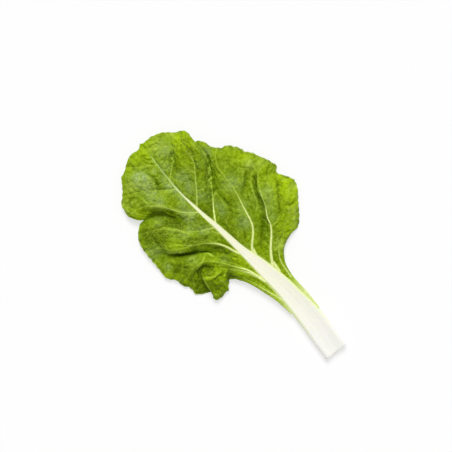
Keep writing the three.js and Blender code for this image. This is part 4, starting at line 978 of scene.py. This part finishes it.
def around(values):
    """The mean of each point's four neighbours on the net."""
    padded = np.pad(values, ((1, 1), (1, 1), (0, 0)), mode="edge")
    return (padded[:-2, 1:-1] + padded[2:, 1:-1] + padded[1:-1, :-2] + padded[1:-1, 2:]) / 4


share = t.reshape(-1)
crumple = spread(CRUMPLES, 0.1, np.maximum)
young = YOUNG_RIM_TINT * np.clip((share - (1 - YOUNG_RIM)) / YOUNG_RIM, 0, 1) ** 2
young = np.maximum(spread(YOUNG, 0, np.maximum), young)
# The quilt dies out at the margin, along the midrib and down the wings.
pucker = np.clip(share / 0.05, 0, 1) * np.clip((1 - share) / 0.05, 0.25, 1)
pucker *= 0.25 + 0.75 * np.clip((points[:, 1] - WING_TOP) / WING_FADE, 0, 1)
# Hollows of the waves, against the mean height round about, where shade is painted darker green.
level = blade_net[..., 2:]
for _ in range(LEVELLING):
    level = (level + around(level)) / 2
hollow = np.clip((level - blade_net[..., 2:]).reshape(-1) / HOLLOW_DEPTH, 0, 1)

swell = np.clip(small_vein_mm / SWELL_REACH, 0, 1)
swell = swell * swell * (3 - 2 * swell) * SWELL_HEIGHT * pucker
blade_net += facing(blade_net) * swell.reshape(t.shape)[..., None]
# The foot of each wing runs out pale into the stalk.
wing_y = np.where(points[:, 0] > FOOTPRINT_MIDDLE[0], WING_FOOT_Y[1], WING_FOOT_Y[0])
wing_pale = np.clip((wing_y - points[:, 1]) / WING_FOOT_FADE, 0, 0.92)
# The blade is paler where it springs from the midrib, and its thin rim is painted lighter, as
# painted light against the shade that its edge takes.
walked = np.cumsum(np.linalg.norm(np.diff(blade_net, axis=1, prepend=blade_net[:, :1]), axis=2), 1)
fringe = np.clip(1 - walked.reshape(-1) / FRINGE, 0, 1)
fringe *= np.clip((FRINGE_Y - points[:, 1]) / FRINGE_FADE, 0.3, 1)
fringe = np.maximum(fringe, RIM_LIGHT * np.clip(1 - (1 - share) * ROWS, 0, 1))

# A narrow wing is evened out, and a sheet this thick takes no sharper folds than these.
narrow = np.clip(1.5 - length / NARROW, 0, 1)[:, None]
for _ in range(EVENING):
    middle = (blade_net[:, :-2] + blade_net[:, 2:]) / 2
    blade_net[:, 1:-1] += (0.5 * narrow[..., None]) * (middle - blade_net[:, 1:-1])
folded = np.broadcast_to(narrow, t.shape).copy()
for _ in range(EASING):
    normal = facing(blade_net)
    sharp = np.clip((SHARP - (around(normal) * normal).sum(2)) / 0.06, 0, 1)
    sharp[:, (0, -1)] = 0
    folded = np.maximum(folded, sharp)
    blade_net += (0.6 * sharp)[..., None] * (around(blade_net) - blade_net)
for _ in range(6):
    folded = np.maximum(folded, around(folded[..., None])[..., 0])
pucker *= 1 - 0.85 * folded.reshape(-1)
rib *= 1 - 0.8 * folded.reshape(-1)

blade = new_sheet("leaf_blade", ROWS + 1, len(blade_net))
place_points(blade, blade_net)
for name, values in (
    ("flat", points),
    ("vein_mm", vein_mm),
    ("vein_tone", vein_tone),
    ("small_vein_mm", small_vein_mm),
    ("tone", np.clip(tone, -1, 1)),
    ("bloom", np.clip(bloom, 0, 1)),
    ("wing_pale", wing_pale),
    ("fringe", fringe),
    ("crumple", crumple),
    ("pucker", pucker),
    ("young", young),
    ("hollow", hollow),
):
    mark_points(blade, name, values)

# The thickness goes by a weight at each point, from the lamina's alone to a strong vein's root.
FULL_DEPTH = LAMINA + RIB_DEPTH
WEIGHTS = 40  # steps of thickness
THINNING = 0.45  # share of the lamina that is gone at the margin

depth = blade.vertex_groups.new(name="depth")
thin = 1 - THINNING * share**6
weight = np.round((LAMINA * thin + RIB_DEPTH * rib) / FULL_DEPTH * WEIGHTS).astype(int)
for step in np.unique(weight):
    depth.add(np.flatnonzero(weight == step).tolist(), step / WEIGHTS, "REPLACE")

# The quilt: between the net of small veins the green rises in soft blisters.
BLISTER = 8.5  # mm across
BLISTER_HEIGHT = 0.55  # mm
SMALL_BLISTER = 3.6  # mm across
SMALL_BLISTER_HEIGHT = 0.15  # mm
FOLD = 5.5  # mm from one little fold to the next, where the green is crumpled
FOLD_HEIGHT = 0.8  # mm
VEIN_LIFT = 0.55  # mm, how far a side vein stands out of the face
SWAY = 0.7  # how far the net wanders, as a share of a blister
PINGPONG = {"operation": "PINGPONG"}


def net_distance(tree, place, size):
    """Adds the nodes of a net of veins, and gives how far a place is from it, 0 to about 0.5."""
    wander = add(tree, "TexNoise", give="Color", Vector=place, Scale=0.7 / size, Detail=1.0)
    moved = add(tree, "VectorMath", TIMES_PLUS, _0=wander, _1=(SWAY * size,) * 3, _2=place)
    return add(tree, "TexVoronoi", {"feature": "DISTANCE_TO_EDGE"}, Vector=moved, Scale=1 / size)


quilt = bpy.data.node_groups.new("quilt", "GeometryNodeTree")
for way in ("INPUT", "OUTPUT"):
    quilt.interface.new_socket("Geometry", in_out=way, socket_type="NodeSocketGeometry")
sheet = add(quilt, "NodeGroupInput")
mark = {}
for name in ("flat", "vein_mm", "vein_tone", "crumple", "pucker"):
    kind = {"data_type": "FLOAT_VECTOR" if name == "flat" else "FLOAT"}
    mark[name] = add(quilt, "GeometryNodeInputNamedAttribute", kind, Name=name)
big, small = (
    ramp(quilt, net_distance(quilt, mark["flat"], size), 0, edge, high=height * MM, smooth=True)
    for size, edge, height in (
        (BLISTER, 0.32, BLISTER_HEIGHT),
        (SMALL_BLISTER, 0.3, SMALL_BLISTER_HEIGHT),
    )
)
blisters = add(quilt, "Math", _0=big, _1=small)
clear = ramp(quilt, mark["vein_mm"], 0, 3.2, smooth=True)
blisters = add(quilt, "Math", TIMES, _0=blisters, _1=clear)
valley = add(quilt, "Math", PINGPONG, _0=noise(quilt, mark["flat"], FOLD, 2), _1=0.5)
folds = ramp(quilt, valley, 0.34, 0.5, high=FOLD_HEIGHT * MM, smooth=True)
height = add(quilt, "Math", TIMES_PLUS, _0=folds, _1=mark["crumple"], _2=blisters)
on_vein = ramp(quilt, mark["vein_mm"], 0.7, -0.6, high=VEIN_LIFT * MM, smooth=True)
lift = add(quilt, "Math", TIMES, _0=on_vein, _1=mark["vein_tone"])
# The underside follows the quilt of the upper face, but not its lines.
sheet_side = add(quilt, "GeometryNodeInputMaterialIndex")
follows = ramp(quilt, sheet_side, 0, 1, 1, -1)
on_top = ramp(quilt, sheet_side, 0, 1, 1, 0)
lift = add(quilt, "Math", TIMES, _0=lift, _1=on_top)
puffed = add(quilt, "Math", TIMES, _0=mark["pucker"], _1=follows)
height = add(quilt, "Math", TIMES_PLUS, _0=height, _1=puffed, _2=lift)
normal = add(quilt, "GeometryNodeInputNormal")
shift = add(quilt, "VectorMath", {"operation": "SCALE"}, _0=normal, Scale=height)
moved = add(quilt, "GeometryNodeSetPosition", Geometry=sheet, Offset=shift)
add(quilt, "NodeGroupOutput", _0=moved)

for _ in ("upper face", "underside"):
    blade.data.materials.append(None)  # an empty slot for each, filled below
body = blade.modifiers.new("body", "SOLIDIFY")
body.thickness = FULL_DEPTH * MM
body.offset = -1
body.vertex_group = "depth"
body.material_offset = 1
puckers = blade.modifiers.new("quilt", "NODES")
puckers.node_group = quilt
for modifier in ("body", "quilt"):
    bpy.ops.object.modifier_apply(modifier=modifier)
bpy.ops.object.shade_smooth_by_angle(angle=math.radians(60))

# Upper face: smooth, waxy green tissue with a soft gloss. It is painted a deeper green in the
# hollows as shade, fresh yellow-green where it is young or stretched thin, and its veins are pale.
# Over that lie painted highlights along the ridges, painted shade in the creases and a painted
# sheen.
DEEP_GREEN = "#5f7b00"
LEAF_GREEN = "#7d9b02"
YOUNG_GREEN = "#a2c204"
HOLLOW_SHADE_GREEN = "#4c6a00"
VEIN_PALE = "#e8f2a2"
VEIN_GREEN = "#a8c440"
NET_GREEN = "#a2bd3a"
PAINTED_HIGHLIGHT_GREEN = "#b4cc4c"
SHEEN_GREEN = "#9fb784"
PAINTED_SHADE_GREEN = "#445a00"
WING_FOOT = "#dcea94"
FRINGE_AND_RIM_LIGHT_GREEN = "#e0ec96"
WAX_TINT = "#e0ee58"
MOTTLE = 3.2  # mm across a lighter or darker fleck, drawn coarser than the real ones
MOTTLING = 0.42  # how much the flecks differ
BREAKS = 6  # mm across a gap in the painted sheen
GRAIN = 1.2  # mm, drawn coarser than the real cells
PUFF = 0.8  # mm, how high the bump makes the green between the veins
CREASE = 9  # mm from one sharp little fold to the next
VARIATION = 26  # mm across a patch of lighter or darker green

upper, tree, shader = new_material(
    "chard_leaf_upper_face",
    Roughness=0.44,
    Specular_IOR_Level=0.34,
    Specular_Tint=linear(WAX_TINT),
)
place = mark_of(tree, "flat", "Vector")
marks = "vein_mm vein_tone small_vein_mm tone bloom wing_pale fringe young hollow crumple"
mark = {name: mark_of(tree, name) for name in marks.split()}
big_net, small_net = (net_distance(tree, place, size) for size in (BLISTER, SMALL_BLISTER))
patch = ramp(tree, noise(tree, place, VARIATION, 4), 0.35, 0.65)
blister = ramp(tree, big_net, 0, 0.4, high=0.35)
# Random flecks of the green's own are added to the painted light and shade.
mottle = ramp(tree, noise(tree, place, MOTTLE, 3), 0.3, 0.7, -MOTTLING, MOTTLING)
mark["tone"] = add(tree, "Math", _0=mark["tone"], _1=mottle)
# The painted sheen is broken into patches.
breaks = ramp(tree, noise(tree, place, BREAKS, 3), 0.38, 0.6, 0.35, 1.1)
mark["bloom"] = add(tree, "Math", TIMES, _0=mark["bloom"], _1=breaks)
# The layers of its colour, each laid over the ones before: (where it shows, its colour).
layers = [
    (patch, LEAF_GREEN),
    (blister, LEAF_GREEN),
    (mark["young"], YOUNG_GREEN),
    # painted shade in the hollows
    (mark["hollow"], HOLLOW_SHADE_GREEN),
]
# Painted sheen, highlight and shade, then the pale fringe with painted light on the rim.
for name, end, most, tint in (
    ("bloom", 1.0, 0.75, SHEEN_GREEN),
    ("tone", 1.0, 0.75, PAINTED_HIGHLIGHT_GREEN),
    ("tone", -1.0, 0.9, PAINTED_SHADE_GREEN),
    ("fringe", 1.0, 0.85, FRINGE_AND_RIM_LIGHT_GREEN),
):
    layers.append((ramp(tree, mark[name], 0, end, high=most), tint))
for distance, reach, most in (
    (mark["small_vein_mm"], 0.7, 0.35),
    (big_net, 0.07, 0.2),
    (small_net, 0.09, 0.1),
):
    line = ramp(tree, distance, reach, 0.1 * reach, high=most, smooth=True)
    layers.append((line, NET_GREEN))
halo = ramp(tree, mark["vein_mm"], 1.6, 0, high=0.45, smooth=True)
halo = add(tree, "Math", TIMES, _0=halo, _1=mark["vein_tone"])
vein = ramp(tree, mark["vein_mm"], 0.25, -0.35, smooth=True)
shown = ramp(tree, mark["vein_tone"], 0, 0.8, low=0.15)
vein = add(tree, "Math", TIMES, _0=vein, _1=shown)
vein_colour = layered(tree, VEIN_GREEN, [(mark["vein_tone"], VEIN_PALE)])
layers += [(halo, NET_GREEN), (vein, vein_colour), (mark["wing_pale"], WING_FOOT)]
colour = layered(tree, DEEP_GREEN, layers)
# The bump: the puffed green between the veins of the net, over a fine grain.
height = add(tree, "Math", TIMES, _0=noise(tree, place, GRAIN, 3), _1=0.3)
for distance, amount in ((big_net, 0.7), (small_net, 0.3)):
    puff = ramp(tree, distance, 0, 0.25, high=amount, smooth=True)
    height = add(tree, "Math", _0=height, _1=puff)
crease = noise(tree, place, CREASE, 4, Roughness=0.6)
crease = add(tree, "Math", PINGPONG, _0=crease, _1=0.5)
crease = ramp(tree, crease, 0.36, 0.5, high=0.9, smooth=True)
height = add(tree, "Math", TIMES_PLUS, _0=crease, _1=mark["crumple"], _2=height)
colour_and_bump(tree, shader, colour, height, PUFF, 0.6)
blade.data.materials[0] = upper

# Underside: the same tissue, paler and duller, with the veins standing out as ribs.
UNDERSIDE_GREEN = "#8fa95f"
UNDERSIDE_DEEP = "#6f8f45"
UNDERSIDE_VEIN = "#dfe6b8"
UNDERSIDE_PUFF = 0.3  # mm, how far the bump makes the small veins stand out

under, tree, shader = new_material("chard_leaf_underside", Roughness=0.62, IOR=1.4)
place = mark_of(tree, "flat", "Vector")
vein_mark = mark_of(tree, "vein_mm")
big_net, small_net = (net_distance(tree, place, size) for size in (BLISTER, SMALL_BLISTER))
patch = ramp(tree, noise(tree, place, VARIATION, 4), 0.3, 0.7)
net = ramp(tree, big_net, 0.08, 0, high=0.7)
vein = ramp(tree, vein_mark, 0.9, 0.1, smooth=True)
layers = [(patch, UNDERSIDE_GREEN), (net, UNDERSIDE_VEIN), (vein, UNDERSIDE_VEIN)]
colour = layered(tree, UNDERSIDE_DEEP, layers)
raised = ramp(tree, small_net, 0, 0.12, 1, 0)
colour_and_bump(tree, shader, colour, raised, UNDERSIDE_PUFF, 0.6)
blade.data.materials[1] = under

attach(blade, "root")
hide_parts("blade")


# The floor, the light and the camera.
# A plain white light table under soft studio light from beyond the leaf's right shoulder, seen
# from straight above. Its own glow keeps the shadows on it faint.
FLOOR_SIZE = 12  # m
FLOOR_WHITE = "#a3a3a3"
FLOOR_GLOW = 0.607  # how brightly the sheet is lit from below
CAMERA_HEIGHT = 1.5  # m over the leaf
LEAF_LEVEL = 0.008  # m, the height of the leaf's face that the view is set for
VIEW_WIDTH = 0.5198  # m across the view, at the leaf
VIEW_MIDDLE = (-0.0011, 0.0284)  # m, the point that the camera looks down on
UP = (0.700, 0.714)  # the leaf's directions that point up and right in the view
RIGHT = (0.714, -0.700)
FILM_WIDTH = 36  # mm
LIGHT_FROM = (0.5, 0.62, 1.0)
LIGHT_SPREAD = 30  # degrees, how wide the soft light is
LIGHT_STRENGTH = 2.5
SKY_STRENGTH = 0.42

bpy.ops.object.select_all(action="DESELECT")
bpy.ops.mesh.primitive_plane_add(size=FLOOR_SIZE)
floor = bpy.context.object
floor.name = floor.data.name = "floor"
acrylic, _, _ = new_material(
    "opal_acrylic_sheet",
    Roughness=0.9,
    Specular_IOR_Level=0.1,
    Base_Color=linear(FLOOR_WHITE),
    Emission_Color=(1, 1, 1, 1),
    Emission_Strength=FLOOR_GLOW,
)
floor.data.materials.append(acrylic)

scene = bpy.context.scene
scene.view_settings.view_transform = "Standard"
scene.world = bpy.data.worlds.new("soft_daylight")
scene.world.use_nodes = True
sky = scene.world.node_tree.nodes["Background"]
sky.inputs["Color"].default_value = (1, 1, 1, 1)
sky.inputs["Strength"].default_value = SKY_STRENGTH

bpy.ops.object.light_add(type="SUN")
lamp = bpy.context.object
lamp.name = "soft_daylight"
lamp.data.angle = math.radians(LIGHT_SPREAD)
lamp.data.energy = LIGHT_STRENGTH
lamp.rotation_euler = Vector(LIGHT_FROM).to_track_quat("Z", "Y").to_euler()

bpy.ops.object.camera_add()
camera = bpy.context.object
camera.name = "camera"
camera.data.sensor_width = FILM_WIDTH
camera.data.lens = FILM_WIDTH * CAMERA_HEIGHT / VIEW_WIDTH
camera.matrix_world = Matrix(
    (
        (RIGHT[0], UP[0], 0, VIEW_MIDDLE[0]),
        (RIGHT[1], UP[1], 0, VIEW_MIDDLE[1]),
        (0, 0, 1, CAMERA_HEIGHT + LEAF_LEVEL),
        (0, 0, 0, 1),
    )
)
scene.camera = camera
